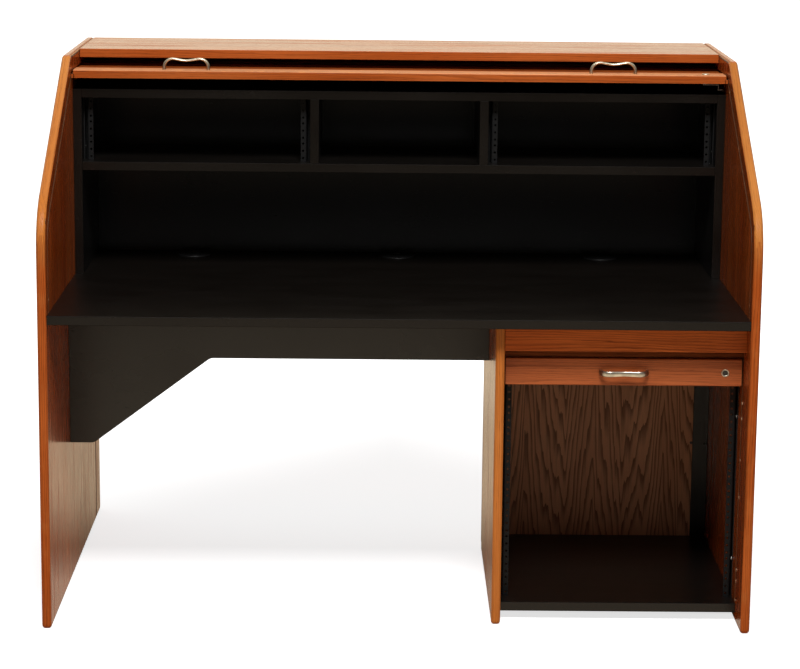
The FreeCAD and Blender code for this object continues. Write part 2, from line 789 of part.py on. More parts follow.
def lock_cam(x, reach):
    """The bolt on the back of the plug: an arm towards the side panel with a stepped tip."""
    top = LEAD_BACK_N - LOCK_TAIL - CAM_GAP
    bend_x = x + reach - CAM_TIP
    corners = [
        (x - CAM_W / 2, top - CAM_T),
        (bend_x, top - CAM_T),
        (bend_x, top - CAM_DROP - CAM_T),
        (x + reach, top - CAM_DROP - CAM_T),
        (x + reach, top - CAM_DROP),
        (bend_x + CAM_T, top - CAM_DROP),
        (bend_x + CAM_T, top),
        (x - CAM_W / 2, top),
    ]
    return sharp_prism(corners, front_plane(LOCK_EDGE_D - CAM_W / 2), Vector(0, CAM_W, 0))


def lead_set(name, curtain, lead_gap, tongue, pulls, lock_inset):
    """A lead rail and what it carries, placed where it lies with the curtain open."""
    lock_x = curtain.x1 - lock_inset
    reach = lock_inset - CAM_TIP_GAP
    x0 = curtain.x0 + lead_gap
    x1 = curtain.x1 - lead_gap
    flat = {
        "lead_rail": lead_rail(x0, x1, tongue, pulls, lock_x),
        "pulls": Part.makeCompound([bow_pull(x) for x in pulls]),
        "pull_screws": Part.makeCompound([pull_screw(x) for x in foot_places(pulls)]),
        "lock_barrel": lock_barrel(lock_x),
        "lock_plug": lock_plug(lock_x),
        "lock_cam": lock_cam(lock_x, reach),
    }
    return {f"{name}_{part}": seated_lead(shape, curtain) for part, shape in flat.items()}


def seated_lead(shape, curtain):
    """Lays a piece of the lead rail on the straight run that holds the rail's tail end."""
    tail = curtain.lead_open + LEAD_W
    _, course, _ = curtain.path.locate(tail - 1e-6)
    moved = shape.copy()
    moved.translate(Vector(0, -LEAD_W, 0))
    moved.rotate(Vector(0, 0, 0), Vector(1, 0, 0), math.degrees(course))
    point, _, _ = curtain.path.locate(tail)
    moved.translate(Vector(0, point[0], point[1]))
    return moved


def all_nodes():
    nodes = {
        "left_side_panel": side_panel(-1),
        "right_side_panel": side_panel(1),
        "top_panel": top_panel(),
        "rear_panel": rear_panel(),
        "desktop": desktop(),
        "modesty_panel": modesty_panel(),
        "hutch_left_side": hutch_side(-1),
        "hutch_right_side": hutch_side(1),
        "hutch_top": hutch_board(HUTCH_TOP_Z),
        "hutch_shelf": hutch_board(HUTCH_SHELF_Z),
        "hutch_left_divider": hutch_divider(-1),
        "hutch_right_divider": hutch_divider(1),
        "hutch_back": hutch_back(),
        "pedestal_gable": pedestal_gable(),
        "pedestal_floor": pedestal_floor(),
        "pedestal_fascia": pedestal_fascia(),
        "pedestal_back": pedestal_back(),
        "pedestal_rear_stile": pedestal_rear_stile(),
        "left_bay_rack_rails": hutch_rails(-1),
        "right_bay_rack_rails": hutch_rails(1),
        "pedestal_rack_rails": pedestal_rails(),
        "grommet_sleeves": Part.makeCompound([grommet_sleeve(x) for x in grommet_places()]),
    }
    for name, x in zip(("left", "centre", "right"), grommet_places()):
        nodes[f"{name}_grommet_cap"] = grommet_cap(x)
    main = MainCurtain()
    pedestal = PedestalCurtain()
    pedestal_pull_x = (GABLE_INNER_X + INNER_X) / 2
    main_pulls = [-MAIN_PULL_X, MAIN_PULL_X]
    nodes.update(lead_set("main", main, MAIN_LEAD_GAP, 0, main_pulls, MAIN_LOCK_INSET))
    tongue = PEDESTAL_LEAD_GAP + GROOVE_REACH
    nodes.update(
        lead_set("pedestal", pedestal, PEDESTAL_LEAD_GAP, tongue, [pedestal_pull_x], PEDESTAL_LOCK_INSET)
    )
    for curtain in (main, pedestal):
        for name, group in curtain.groups().items():
            nodes[name] = curtain.pieces(group)
    return nodes


def write_nodes():
    os.makedirs("parts", exist_ok=True)
    for name, shape in all_nodes().items():
        shape.translate(Vector(0, -DEPTH / 2, 0))
        shape.exportStep(f"parts/{name}.step")


write_nodes()
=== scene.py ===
import json
import math

import bmesh
import bpy
from mathutils import Matrix, Vector


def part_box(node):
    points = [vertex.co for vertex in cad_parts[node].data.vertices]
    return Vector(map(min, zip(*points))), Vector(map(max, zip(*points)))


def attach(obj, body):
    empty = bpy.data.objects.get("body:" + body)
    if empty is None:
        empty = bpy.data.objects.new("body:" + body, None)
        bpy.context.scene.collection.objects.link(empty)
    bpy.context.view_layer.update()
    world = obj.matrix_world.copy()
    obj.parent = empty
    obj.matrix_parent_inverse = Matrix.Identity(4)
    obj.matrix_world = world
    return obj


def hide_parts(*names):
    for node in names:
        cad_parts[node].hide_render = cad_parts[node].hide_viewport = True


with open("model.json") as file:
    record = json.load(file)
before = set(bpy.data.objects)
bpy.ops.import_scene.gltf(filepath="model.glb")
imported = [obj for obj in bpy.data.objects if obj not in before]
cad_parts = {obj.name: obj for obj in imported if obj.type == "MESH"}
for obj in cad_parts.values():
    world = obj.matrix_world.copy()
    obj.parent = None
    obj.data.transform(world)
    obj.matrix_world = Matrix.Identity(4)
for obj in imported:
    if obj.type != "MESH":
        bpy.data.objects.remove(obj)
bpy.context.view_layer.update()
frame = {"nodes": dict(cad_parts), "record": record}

NODES = frame["nodes"]
BODY_OF = {}
for body, members in frame["record"]["behaviour"]["bodies"].items():
    for member in members:
        BODY_OF[member] = body

MM = 0.001

# The photograph's camera, in the desk's frame
PHOTO_W = 800.0
FOCAL_PX = 2606.00
SENSOR_MM = 36.0
CAMERA_AT = (-0.04233, -5.63358, 1.64963)
YAW_DEG = 0.489
PITCH_DEG = -11.234
ROLL_DEG = -0.589
FAR_CLIP = 100


# Node materials

# Sockets of the Mix node that share a name: those for colours, then those for plain numbers
COLOR_A, COLOR_B, COLOR_OUT = 6, 7, 2
NUMBER_FACTOR, NUMBER_A, NUMBER_B, NUMBER_OUT = 0, 2, 3, 0


class Shader:
    """A node material under construction."""

    def __init__(self, name):
        self.material = bpy.data.materials.new(name)
        self.material.use_nodes = True
        self.tree = self.material.node_tree
        self.surface = self.tree.nodes["Principled BSDF"]

    def add(self, kind, inputs=None, **settings):
        node = self.tree.nodes.new("ShaderNode" + kind)
        for key, value in settings.items():
            setattr(node, key, value)
        for key, value in (inputs or {}).items():
            self.put(node.inputs[key], value)
        return node

    def put(self, socket, value):
        if isinstance(value, bpy.types.NodeSocket):
            self.tree.links.new(value, socket)
        else:
            socket.default_value = value

    def place(self):
        return self.add("TexCoord").outputs["Object"]

    def parts(self, vector):
        split = self.add("SeparateXYZ", {"Vector": vector})
        return [split.outputs[letter] for letter in "XYZ"]

    def math(self, operation, a, b=0.0):
        node = self.add("Math", operation=operation)
        self.put(node.inputs[0], a)
        self.put(node.inputs[1], b)
        return node.outputs[0]

    def scaled(self, value, factor, base=0.0):
        node = self.add("Math", operation="MULTIPLY_ADD")
        self.put(node.inputs[0], value)
        self.put(node.inputs[1], factor)
        self.put(node.inputs[2], base)
        return node.outputs[0]

    def mix(self, factor, a, b, blend="MIX"):
        node = self.add("Mix", data_type="RGBA", blend_type=blend)
        self.put(node.inputs["Factor"], factor)
        self.put(node.inputs[COLOR_A], a)
        self.put(node.inputs[COLOR_B], b)
        return node.outputs[COLOR_OUT]

    def ramp(self, value, low, high):
        """Zero below low, one above high, smooth between."""
        node = self.add("MapRange", {"Value": value}, interpolation_type="SMOOTHSTEP")
        node.inputs["From Min"].default_value = low
        node.inputs["From Max"].default_value = high
        return node.outputs["Result"]

    def noise(self, vector, scale, detail=2.0, roughness=0.5):
        """Noise of a whole scale, or of one scale for each axis."""
        if isinstance(scale, tuple):
            stretch = self.add("VectorMath", operation="MULTIPLY")
            self.put(stretch.inputs[0], vector)
            stretch.inputs[1].default_value = scale
            vector, scale = stretch.outputs[0], 1.0
        node = self.add("TexNoise", {"Vector": vector})
        node.inputs["Scale"].default_value = scale
        node.inputs["Detail"].default_value = detail
        node.inputs["Roughness"].default_value = roughness
        return node.outputs["Fac"]

    def bump(self, height, strength, distance):
        node = self.add("Bump", {"Height": height})
        node.inputs["Strength"].default_value = strength
        node.inputs["Distance"].default_value = distance
        self.put(self.surface.inputs["Normal"], node.outputs["Normal"])

    def finish(self, color, roughness, **constants):
        self.put(self.surface.inputs["Base Color"], color)
        self.put(self.surface.inputs["Roughness"], roughness)
        for key, value in constants.items():
            self.surface.inputs[key.replace("_", " ")].default_value = value
        return self.material


def shade(color, factor=1.0):
    return tuple(channel * factor for channel in color) + (1,)


GRAIN_ORDER = {"x": (0, 1, 2), "y": (1, 0, 2), "z": (2, 0, 1)}


def grain_frame(shader, axis, shift, tilt_deg=0.0):
    """Object coordinates turned so that the grain runs along X and the face across along Y."""
    turned = shader.add("Mapping", {"Vector": shader.place()})
    turned.inputs["Rotation"].default_value = (math.radians(tilt_deg), 0, 0)
    parts = shader.parts(turned.outputs["Vector"])
    along, across, through = (parts[number] for number in GRAIN_ORDER[axis])
    joined = shader.add("CombineXYZ", {"X": along, "Y": across, "Z": through})
    moved = shader.add("VectorMath", operation="ADD")
    shader.put(moved.inputs[0], joined.outputs[0])
    moved.inputs[1].default_value = shift
    return moved.outputs[0]


def ring_drift(shader, place):
    """How far the growth rings stray from their smooth course, in metres."""
    wander = shader.noise(place, (1.6, 9.0, 9.0), 3.0)
    ripple = shader.noise(place, (10.0, 55.0, 55.0))
    crowding = shader.noise(place, (0.7, 26.0, 26.0))
    drift = shader.scaled(wander, 0.024, shader.scaled(ripple, 0.0045, -0.0142))
    return shader.scaled(crowding, 0.030, drift)


def straight_rings(shader, place):
    """Distance across the rings of a leaf sliced along the log."""
    _, across, through = shader.parts(place)
    return shader.scaled(through, 0.8, across)


def cathedral_rings(shader, place, leaf):
    """Distance from the heart in repeated leaves whose flames point down."""
    along, across, _ = shader.parts(place)
    wrapped = shader.math("WRAP", across, leaf / 2)
    wrapped.node.inputs[2].default_value = -leaf / 2
    spikes = shader.noise(place, (4.0, 150.0, 150.0), 2.0)
    heart = shader.scaled(spikes, 0.007, shader.scaled(along, -0.084, 0.077))
    square = shader.math("MULTIPLY", heart, heart)
    return shader.math("SQRT", shader.scaled(wrapped, wrapped, square))


# Stains of the oak, and the heights between which an upright edge fades into a lighter stain toward its top, partly
# painted highlight at the bend into the slope
UPPER_STAIN_AND_HIGHLIGHT_FADE = (0.72, 0.875)
ORANGE_OAK = {
    "light": (0.62, 0.145, 0.028), "middle": (0.48, 0.092, 0.014), "dark": (0.16, 0.026, 0.004),
    "pore": (0.06, 0.011, 0.002),
}
DEEP_OAK = {
    "light": (0.60, 0.118, 0.016), "middle": (0.47, 0.072, 0.008), "dark": (0.15, 0.020, 0.002),
    "pore": (0.05, 0.008, 0.001),
}
RUSSET_OAK = {
    "light": (0.56, 0.150, 0.045), "middle": (0.45, 0.108, 0.030), "dark": (0.17, 0.034, 0.008),
    "pore": (0.06, 0.013, 0.003),
}
HONEY_OAK = {
    "light": (0.66, 0.240, 0.052), "middle": (0.56, 0.178, 0.032), "dark": (0.24, 0.060, 0.010),
    "pore": (0.08, 0.018, 0.004),
}
YELLOW_OAK = {
    "light": (0.62, 0.205, 0.042), "middle": (0.51, 0.148, 0.025), "dark": (0.20, 0.046, 0.007),
    "pore": (0.07, 0.014, 0.003),
}
BROWN_OAK = {
    "light": (0.56, 0.235, 0.100), "middle": (0.46, 0.180, 0.072), "dark": (0.14, 0.042, 0.014),
    "pore": (0.08, 0.024, 0.008),
}
UMBER_OAK = {
    "light": (0.56, 0.275, 0.145), "middle": (0.46, 0.212, 0.105), "dark": (0.12, 0.043, 0.018),
    "pore": (0.07, 0.025, 0.010),
}
# Pale colour of rubbed wear; on the lead rail's top it also paints sheen.
WORN_AND_SHEEN_OAK = (0.70, 0.28, 0.08)


def oak(name, axis, shift, tone=1.0, ring=0.007, contrast=0.45, leaf=0.0, tilt_deg=0.0, stain=ORANGE_OAK,
        upper_stain_and_highlight=None, islands=False, wear_and_sheen=0.0, gloss=0.33, shine=0.16, streaks=0.25, figure=420.0):
    """Stained oak: growth rings cut along the log, streaks, open pores and a satin lacquer."""
    shader = Shader(name)

    def stained(part):
        plain = shade(stain[part], tone)
        return shader.mix(high, plain, shade(upper_stain_and_highlight[part], tone)) if upper_stain_and_highlight else plain

    high = shader.ramp(shader.parts(shader.place())[2], *UPPER_STAIN_AND_HIGHLIGHT_FADE) if upper_stain_and_highlight else None
    place = grain_frame(shader, axis, shift, tilt_deg)
    radius = cathedral_rings(shader, place, leaf) if leaf else straight_rings(shader, place)
    course = shader.math("ADD", radius, ring_drift(shader, place))
    phase = shader.math("FRACT", shader.math("DIVIDE", course, ring))
    early = shader.math("SUBTRACT", 1.0, shader.ramp(phase, 0.0, 0.60))
    fine = shader.noise(place, (34.0, 1500.0, 1500.0), 2.0, 0.6)
    pores = shader.math("MULTIPLY", shader.ramp(fine, 0.53, 0.66), shader.scaled(early, 0.75, 0.25))
    cloud = shader.noise(place, (2.5, 11.0, 11.0), 3.0)
    streak = shader.noise(place, (6.0, 260.0, 260.0), 2.0, 0.6)

    color = shader.mix(shader.ramp(cloud, 0.30, 0.72), stained("middle"), stained("light"))
    dark = stained("dark")
    color = shader.mix(shader.math("MULTIPLY", early, contrast), color, dark)
    color = shader.mix(shader.math("MULTIPLY", shader.ramp(streak, 0.48, 0.76), streaks), color, dark)
    color = shader.mix(shader.math("MULTIPLY", pores, 0.62), color, stained("pore"))
    # Pale rubbed patches: real wear on edges, and painted sheen where they are strong, as on the lead rail's top.
    if wear_and_sheen:
        rubbed = shader.ramp(shader.noise(shader.place(), (40.0, 22.0, 22.0), 4.0, 0.65), 0.50, 0.66)
        color = shader.mix(shader.math("MULTIPLY", rubbed, wear_and_sheen), color, shade(WORN_AND_SHEEN_OAK, tone))
    if islands:
        level = shader.scaled(shader.add("NewGeometry").outputs["Random Per Island"], 0.30, 0.82)
        grey = shader.add("CombineColor", {"Red": level, "Green": level, "Blue": level})
        color = shader.mix(1.0, color, grey.outputs[0], "MULTIPLY")
    shader.bump(shader.math("SUBTRACT", 1.0, pores), 0.25, 0.0004)
    ticks = shader.ramp(shader.noise(place, (0.05 * figure, figure, figure), 2.0, 0.6), 0.50, 0.68)
    rough = shader.scaled(pores, 0.25, shader.scaled(cloud, 0.10, shader.scaled(ticks, 0.22, gloss - 0.08)))
    return shader.finish(color, rough, Specular_IOR_Level=shine)


def laminate(name, value, gloss=0.36, scuffs=0.25, shine=0.6):
    """Black laminate with a fine pebbled surface, wiping marks and a few light scuffs."""
    shader = Shader(name)
    place = shader.place()
    smear = shader.noise(place, (6.0, 14.0, 9.0), 3.0)
    color = shader.mix(smear, shade((1.0, 0.68, 0.48), value * 0.8), shade((1.0, 0.72, 0.54), value * 1.25))
    scuff = shader.ramp(shader.noise(place, (45.0, 160.0, 160.0), 4.0, 0.65), 0.66, 0.74)
    color = shader.mix(shader.math("MULTIPLY", scuff, scuffs), color, shade((1.0, 0.92, 0.85), value * 3.0))
    rough = shader.scaled(smear, 0.14, shader.scaled(scuff, 0.1, gloss))
    shader.bump(shader.noise(place, 900.0), 0.10, 0.0003)
    return shader.finish(color, rough, Specular_IOR_Level=shine)


def metal(name, color, rough, painted_shade_sides=0.0):
    """Satin plated metal with fine draw lines and slight tarnish, and painted shade: darker where it faces sideways.
    """
    shader = Shader(name)
    place = shader.place()
    lines = shader.noise(place, (60.0, 3000.0, 3000.0))
    tarnish = shader.ramp(shader.noise(place, 60.0, 3.0), 0.35, 0.75)
    tint = shader.mix(tarnish, shade(color, 0.70), shade(color))
    # Painted shade: faces turned sideways along X are darkened, standing in for shade and dark reflections, as at the
    # feet of the pulls.
    if painted_shade_sides:
        sideways = shader.math("ABSOLUTE", shader.parts(shader.add("TexCoord").outputs["Normal"])[0])
        tint = shader.mix(shader.scaled(shader.ramp(sideways, 0.50, 0.90), painted_shade_sides), tint, shade(color, 0.10))
    shader.bump(lines, 0.06, 0.0002)
    return shader.finish(tint, shader.scaled(lines, 0.14, rough), Metallic=1.0)


def painted(name, value, rough):
    """Black powder-coated steel with scuffs through the paint."""
    shader = Shader(name)
    place = shader.place()
    grit = shader.noise(place, 1600.0)
    scuff = shader.ramp(shader.noise(place, (220.0, 220.0, 60.0), 4.0, 0.6), 0.63, 0.72)
    color = shader.mix(grit, shade((1, 1, 1), value * 0.8), shade((1, 1, 1.04), value * 1.25))
    color = shader.mix(shader.math("MULTIPLY", scuff, 0.5), color, shade((1, 1, 1.05), value * 4))
    shader.bump(grit, 0.15, 0.0003)
    return shader.finish(color, shader.scaled(grit, 0.15, rough), Specular_IOR_Level=0.24)


def plastic(name, value):
    """Moulded black plastic with a light spark-eroded grain."""
    shader = Shader(name)
    place = shader.place()
    grain = shader.noise(place, 1300.0)
    cloud = shader.noise(place, 40.0)
    color = shader.mix(cloud, shade((1, 1, 1.02), value * 0.8), shade((1, 1, 1), value * 1.3))
    shader.bump(grain, 0.18, 0.0003)
    return shader.finish(color, shader.scaled(grain, 0.2, 0.34), Specular_IOR_Level=0.4)


THREAD_PITCH = 0.0011


def canvas(name):
    """Woven backing cloth glued behind the slats, coloured near black as painted shade, so that the gaps between slat
    groups read dark.
    """
    shader = Shader(name)
    place = shader.place()
    x, y, z = shader.parts(place)
    count = 2 * math.pi / THREAD_PITCH
    warp = shader.math("SINE", shader.math("MULTIPLY", x, count))
    weft = shader.math("SINE", shader.math("MULTIPLY", shader.math("ADD", y, z), count))
    weave = shader.math("MULTIPLY", warp, weft)
    stain = shader.noise(place, 9.0, 3.0)
    color = shader.mix(shader.ramp(weave, -0.8, 0.8), (0.030, 0.019, 0.011, 1), (0.055, 0.036, 0.021, 1))
    color = shader.mix(shader.math("MULTIPLY", stain, 0.4), color, (0.024, 0.015, 0.009, 1))
    shader.bump(weave, 0.4, 0.0003)
    return shader.finish(color, shader.scaled(stain, 0.1, 0.85), Sheen_Weight=0.2)


def groove_wood(name):
    """The rubbed inside of a tambour groove: waxy wood with pale scuffs, made dark as painted shade in the recess."""
    shader = Shader(name)
    place = shader.place()
    wear_and_sheen = shader.noise(place, (160.0, 90.0, 90.0), 4.0, 0.65)
    fine = shader.noise(place, 700.0)
    color = shader.mix(shader.ramp(fine, 0.3, 0.7), (0.060, 0.016, 0.004, 1), (0.13, 0.038, 0.010, 1))
    color = shader.mix(shader.ramp(wear_and_sheen, 0.62, 0.72), color, (0.45, 0.24, 0.11, 1))
    shader.bump(fine, 0.2, 0.0003)
    return shader.finish(color, shader.scaled(wear_and_sheen, 0.3, 0.35), Specular_IOR_Level=0.3)


def raw_wood(name):
    """Bare fibres where the veneer has chipped."""
    shader = Shader(name)
    place = shader.place()
    fibre = shader.noise(place, (900.0, 900.0, 120.0), 3.0, 0.6)
    color = shader.mix(shader.ramp(fibre, 0.35, 0.65), (0.20, 0.10, 0.048, 1), (0.46, 0.31, 0.20, 1))
    shader.bump(fibre, 0.5, 0.0004)
    return shader.finish(color, shader.scaled(fibre, 0.2, 0.7), Specular_IOR_Level=0.2)


MATERIALS = {
    "oak_side_left": oak(
        "oak_side_left", "z", (0.31, 0.05, 0.2), 0.84, 0.009, stain=DEEP_OAK, gloss=0.20, shine=0.38, figure=65.0),
    "oak_side_right": oak(
        "oak_side_right", "z", (0.77, 0.42, 0.1), 0.72, 0.009, stain=DEEP_OAK, gloss=0.20, shine=0.36, figure=65.0),
    # The upright edge is painted lighter toward its top: it blends into the slope's stain and paints the highlight at
    # the bend.
    "oak_upright": oak(
        "oak_upright", "z", (0.12, 0.9, 0.3), 0.78, 0.005, upper_stain_and_highlight=HONEY_OAK, wear_and_sheen=0.12, shine=0.05),
    "oak_slope_left": oak(
        "oak_slope_left", "y", (0.18, 0.3, 0.7), 0.97, 0.005, 0.18, tilt_deg=-30.0, stain=HONEY_OAK),
    "oak_slope_right": oak(
        "oak_slope_right", "y", (0.52, 0.3, 0.7), 0.83, 0.005, 0.18, tilt_deg=-30.0, stain=HONEY_OAK, shine=0.08),
    "oak_crown": oak("oak_crown", "y", (0.2, 0.6, 0.1), 1.0, 0.005, 0.35, wear_and_sheen=0.2, gloss=0.18, shine=0.5),
    "oak_top": oak(
        "oak_top", "x", (0.4, 0.13, 0.6), 1.1, 0.007, 0.75, gloss=0.16, shine=0.5, streaks=0.5, figure=60.0),
    "oak_lip": oak("oak_lip", "x", (0.2, 0.43, 0.5), 0.85, 0.0044, 0.34, streaks=0.42, shine=0.08),
    "oak_front": oak("oak_front", "x", (0.9, 0.35, 0.2), 1.12, 0.0044, 0.46, streaks=0.48, shine=0.12),
    "oak_rail": oak("oak_rail", "x", (0.6, 0.81, 0.4), 0.80, 0.0044, 0.34, streaks=0.42, shine=0.12),
    # Painted sheen: the lead rail's top face is a lighter, paler copy of the rail's oak with its reflection turned
    # down, standing in for the sheen it shows at a grazing view.
    "oak_rail_top": oak(
        "oak_rail_top", "x", (0.3, 0.11, 0.2), 1.4, 0.0065, 0.25, stain=BROWN_OAK, wear_and_sheen=0.3, shine=0.03),
    "oak_door": oak(
        "oak_door", "x", (0.7, 0.17, 0.9), 1.02, 0.0044, 0.34, stain=RUSSET_OAK, streaks=0.42, shine=0.25),
    "oak_gable": oak("oak_gable", "z", (0.15, 0.71, 0.9), 0.84, 0.009, gloss=0.20, shine=0.45, figure=65.0),
    "oak_gable_edge": oak("oak_gable_edge", "z", (0.6, 0.3, 0.8), 1.0, 0.005, 0.30, stain=YELLOW_OAK),
    "oak_rear": oak("oak_rear", "x", (0.1, 0.25, 0.35), 0.95, 0.010, gloss=0.28, shine=0.3),
    "oak_back": oak(
        "oak_back", "z", (0.0, -0.372, 0.05), 1.27, 0.0068, 0.82, leaf=0.158, stain=UMBER_OAK, streaks=0.15),
    "oak_slats_main": oak("oak_slats_main", "x", (0.05, 0.5, 0.15), 0.66, 0.008, islands=True, shine=0.12),
    # Painted shade: the pedestal curtain's oak is toned darker, standing in for the shade on the slats seen in the
    # gap above its lead rail.
    "oak_slats_pedestal": oak(
        "oak_slats_pedestal", "x", (0.35, 0.2, 0.45), 0.52, 0.008, stain=RUSSET_OAK, islands=True, shine=0.08),
    "oak_worn": oak("oak_worn", "z", (0.4, 0.2, 0.6), 0.95, 0.005, 0.25, wear_and_sheen=0.3),
    "seam": groove_wood("glue_seam"),
    # The groove's dark wood is painted shade in the recess; its pale scuffs are wear.
    "groove": groove_wood("groove_wood"),
    "raw_wood": raw_wood("raw_wood"),
    "canvas": canvas("tambour_canvas"),
    "desktop": laminate("laminate_desktop", 0.0042, 0.26, 0.15, 0.45),
    "black": laminate("laminate_black", 0.0034, 0.26),
    # Painted light: a lighter copy of the black laminate for the modesty panel's front face, which lies in the shade
    # under the desktop.
    "black_panel_painted_light": laminate("laminate_panel_painted_light", 0.0060, 0.20, 0.20, 0.60),
    "black_edge": laminate("laminate_edge", 0.0050, 0.18, 0.15, 0.48),
    "black_worn": laminate("laminate_worn", 0.0060, 0.46, 0.30, 0.10),
    # The nickel carries painted shade on its sideways faces.
    "nickel": metal("satin_nickel", (0.95, 0.88, 0.74), 0.27, 0.85),
    "zinc": metal("zinc_steel", (0.55, 0.53, 0.50), 0.34),
    "bright_zinc": metal("bright_zinc", (0.93, 0.91, 0.87), 0.58),
    "dark_steel": metal("dark_steel", (0.13, 0.125, 0.12), 0.36),
    "rail_steel": painted("rail_steel", 0.0055, 0.40),
    "plastic": plastic("grommet_plastic", 0.012),
}


# Making pieces

WELD_DIST = 1e-5
FLAT_DEG, SHARP_DEG = 0.5, 25.0

# Angles above which an edge is shaded as a crease
BOARD_CREASE, SMALL_CREASE, SLEEVE_CREASE, CAP_CREASE, RAIL_CREASE = 35.0, 40, 32, 30, 30
NORMAL_WEIGHT = 60


def new_piece(name, bm, materials, body, crease_deg=BOARD_CREASE):
    mesh = bpy.data.meshes.new(name)
    bm.normal_update()
    bm.to_mesh(mesh)
    bm.free()
    for key in materials:
        mesh.materials.append(MATERIALS[key])
    mesh.shade_smooth()
    mesh.set_sharp_from_angle(angle=math.radians(crease_deg))
    piece = bpy.data.objects.new(name, mesh)
    bpy.context.scene.collection.objects.link(piece)
    weighted = piece.modifiers.new("even_normals", "WEIGHTED_NORMAL")
    weighted.keep_sharp = True
    weighted.weight = NORMAL_WEIGHT
    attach(piece, body)
    return piece


def stand_in(name, bm, materials, node, crease_deg=BOARD_CREASE):
    """A piece that takes a CAD node's place."""
    piece = new_piece(name, bm, materials, BODY_OF[node], crease_deg)
    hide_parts(node)


def solid_copy(node):
    """The node's solids with their flat faces whole again."""
    bm = bmesh.new()
    bm.from_mesh(NODES[node].data)
    bmesh.ops.remove_doubles(bm, verts=bm.verts, dist=WELD_DIST)
    bmesh.ops.dissolve_limit(bm, angle_limit=math.radians(FLAT_DEG), verts=bm.verts, edges=bm.edges)
    return bm


def ease_edges(bm, width, segments, keep=None):
    """Rounds the sharp edges and gives the faces of the rounding."""
    sharp = []
    for edge in bm.edges:
        if edge.is_manifold and edge.calc_face_angle(0) > math.radians(SHARP_DEG):
            if keep is None or keep(edge):
                sharp.append(edge)
    made = bmesh.ops.bevel(
        bm, geom=sharp, offset=width, offset_type="OFFSET", segments=segments, profile=0.5,
        affect="EDGES", clamp_overlap=True,
    )
    return set(made["faces"])


def bridge(bm, first, second):
    count = len(first)
    for number in range(count):
        following = (number + 1) % count
        bm.faces.new((first[number], first[following], second[following], second[number]))


def prism(bm, outline, z0, z1):
    low = [bm.verts.new((x * MM, y * MM, z0 * MM)) for x, y in outline]
    high = [bm.verts.new((x * MM, y * MM, z1 * MM)) for x, y in outline]
    bridge(bm, low, high)
    bm.faces.new(low)
    bm.faces.new(high)


def dressed(node, materials, choose, width, segments, slot, worn=None):
    """A piece for a CAD node: the material of each face is chosen, eased edges by their own rule or the last."""
    bm = solid_copy(node)
    eased = ease_edges(bm, width * MM, segments)
    bm.normal_update()
    for face in bm.faces:
        if face not in eased:
            face.material_index = choose(face)
        else:
            face.material_index = worn(face) if worn else len(materials) - 1
    stand_in(node + "_eased", bm, materials, node)


def first_only(face):
    return 0


# Carcass

DEPTH, HEIGHT = 0.958, 1.138
INNER_X, GABLE_INNER_X = 0.711, 0.217
FRONT_Y = -0.479
SLOPE_DEG, SLOPE_FOOT_Z = 30.0, 0.859

# Where the faces of the grooves and of the seams beside the top panel lie
GROOVE_CLEAR = 0.020
GROOVE_MOUTH, GROOVE_DEEP = 0.0008, 0.0092
GROOVE_FLOOR_X = 0.7205
GABLE_GROOVE_X = 0.2085
GABLE_GROOVE_FRONT_Y, GABLE_GROOVE_REAR_Y = -0.420, 0.136
SEAM_LOW_Z, SEAM_OUTER_X, SEAM_FRONT_Y = 1.130, 0.715, 0.17
TOP_END_X = 0.709

# Finishes of a side panel and of the gable, in the order of their lists
BROAD, UPRIGHT, SLOPE, CROWN, GROOVE, RUBBED, SEAM = range(7)
GABLE_BROAD, GABLE_EDGE, GABLE_GROOVE = range(3)

# Limits for the parts of a face's normal: sideways, upwards and, below zero, to the front
BROADSIDE, BESIDE_GROOVE = 0.75, 0.9
LEVEL, FACING_UP, SLOPING, SLOPING_WORN = 0.94, 0.5, 0.25, 0.2
DESK_FRONT, FACING_FRONT, FRONT_EASING, DESK_EASING = -0.98, -0.5, -0.2, -0.02

# Width in millimetres and number of segments of eased edges
PANEL_EASE, TOP_EASE, FASCIA_EASE, BACK_EASE, BLACK_EASE = (1.8, 3), (1.2, 3), (0.8, 2), (0.5, 2), (0.7, 2)


def in_groove(centre):
    """True for a point well inside a side panel's outline, where only the grooves are cut."""
    depth = centre.y - FRONT_Y
    if depth < GROOVE_CLEAR or depth > DEPTH - GROOVE_CLEAR or centre.z > HEIGHT - GROOVE_CLEAR:
        return False
    slope = math.radians(SLOPE_DEG)
    return (centre.z - SLOPE_FOOT_Z) * math.cos(slope) - depth * math.sin(slope) < -GROOVE_CLEAR


def side_face(face):
    """Broad faces, upright edge, slope edge, top edge and groove of a side panel."""
    centre = face.calc_center_median()
    if INNER_X + GROOVE_MOUTH < abs(centre.x) < INNER_X + GROOVE_DEEP and in_groove(centre):
        return GROOVE
    if abs(face.normal.x) > BROADSIDE:
        return BROAD
    if face.normal.z > LEVEL:
        return CROWN
    return SLOPE if face.normal.z > SLOPING else UPRIGHT


def side_worn(face):
    """Rubbed edges, plain ones in front, dark ones at the grooves and along the top panel; those at the grooves are
    painted shade.
    """
    centre = face.calc_center_median()
    if centre.z > SEAM_LOW_Z and abs(centre.x) < SEAM_OUTER_X and centre.y > SEAM_FRONT_Y:
        return SEAM
    # Painted shade: rounded edges at a groove take the groove's dark wood, so that they show no highlight.
    if abs(centre.x) < GROOVE_FLOOR_X and in_groove(centre):
        return GROOVE
    if face.normal.y > FRONT_EASING:
        return RUBBED
    return SLOPE if face.normal.z > SLOPING_WORN else UPRIGHT


def top_worn(face):
    """A seam at the top panel's ends and rubbed edges along it."""
    return 3 if abs(face.calc_center_median().x) > TOP_END_X else 2


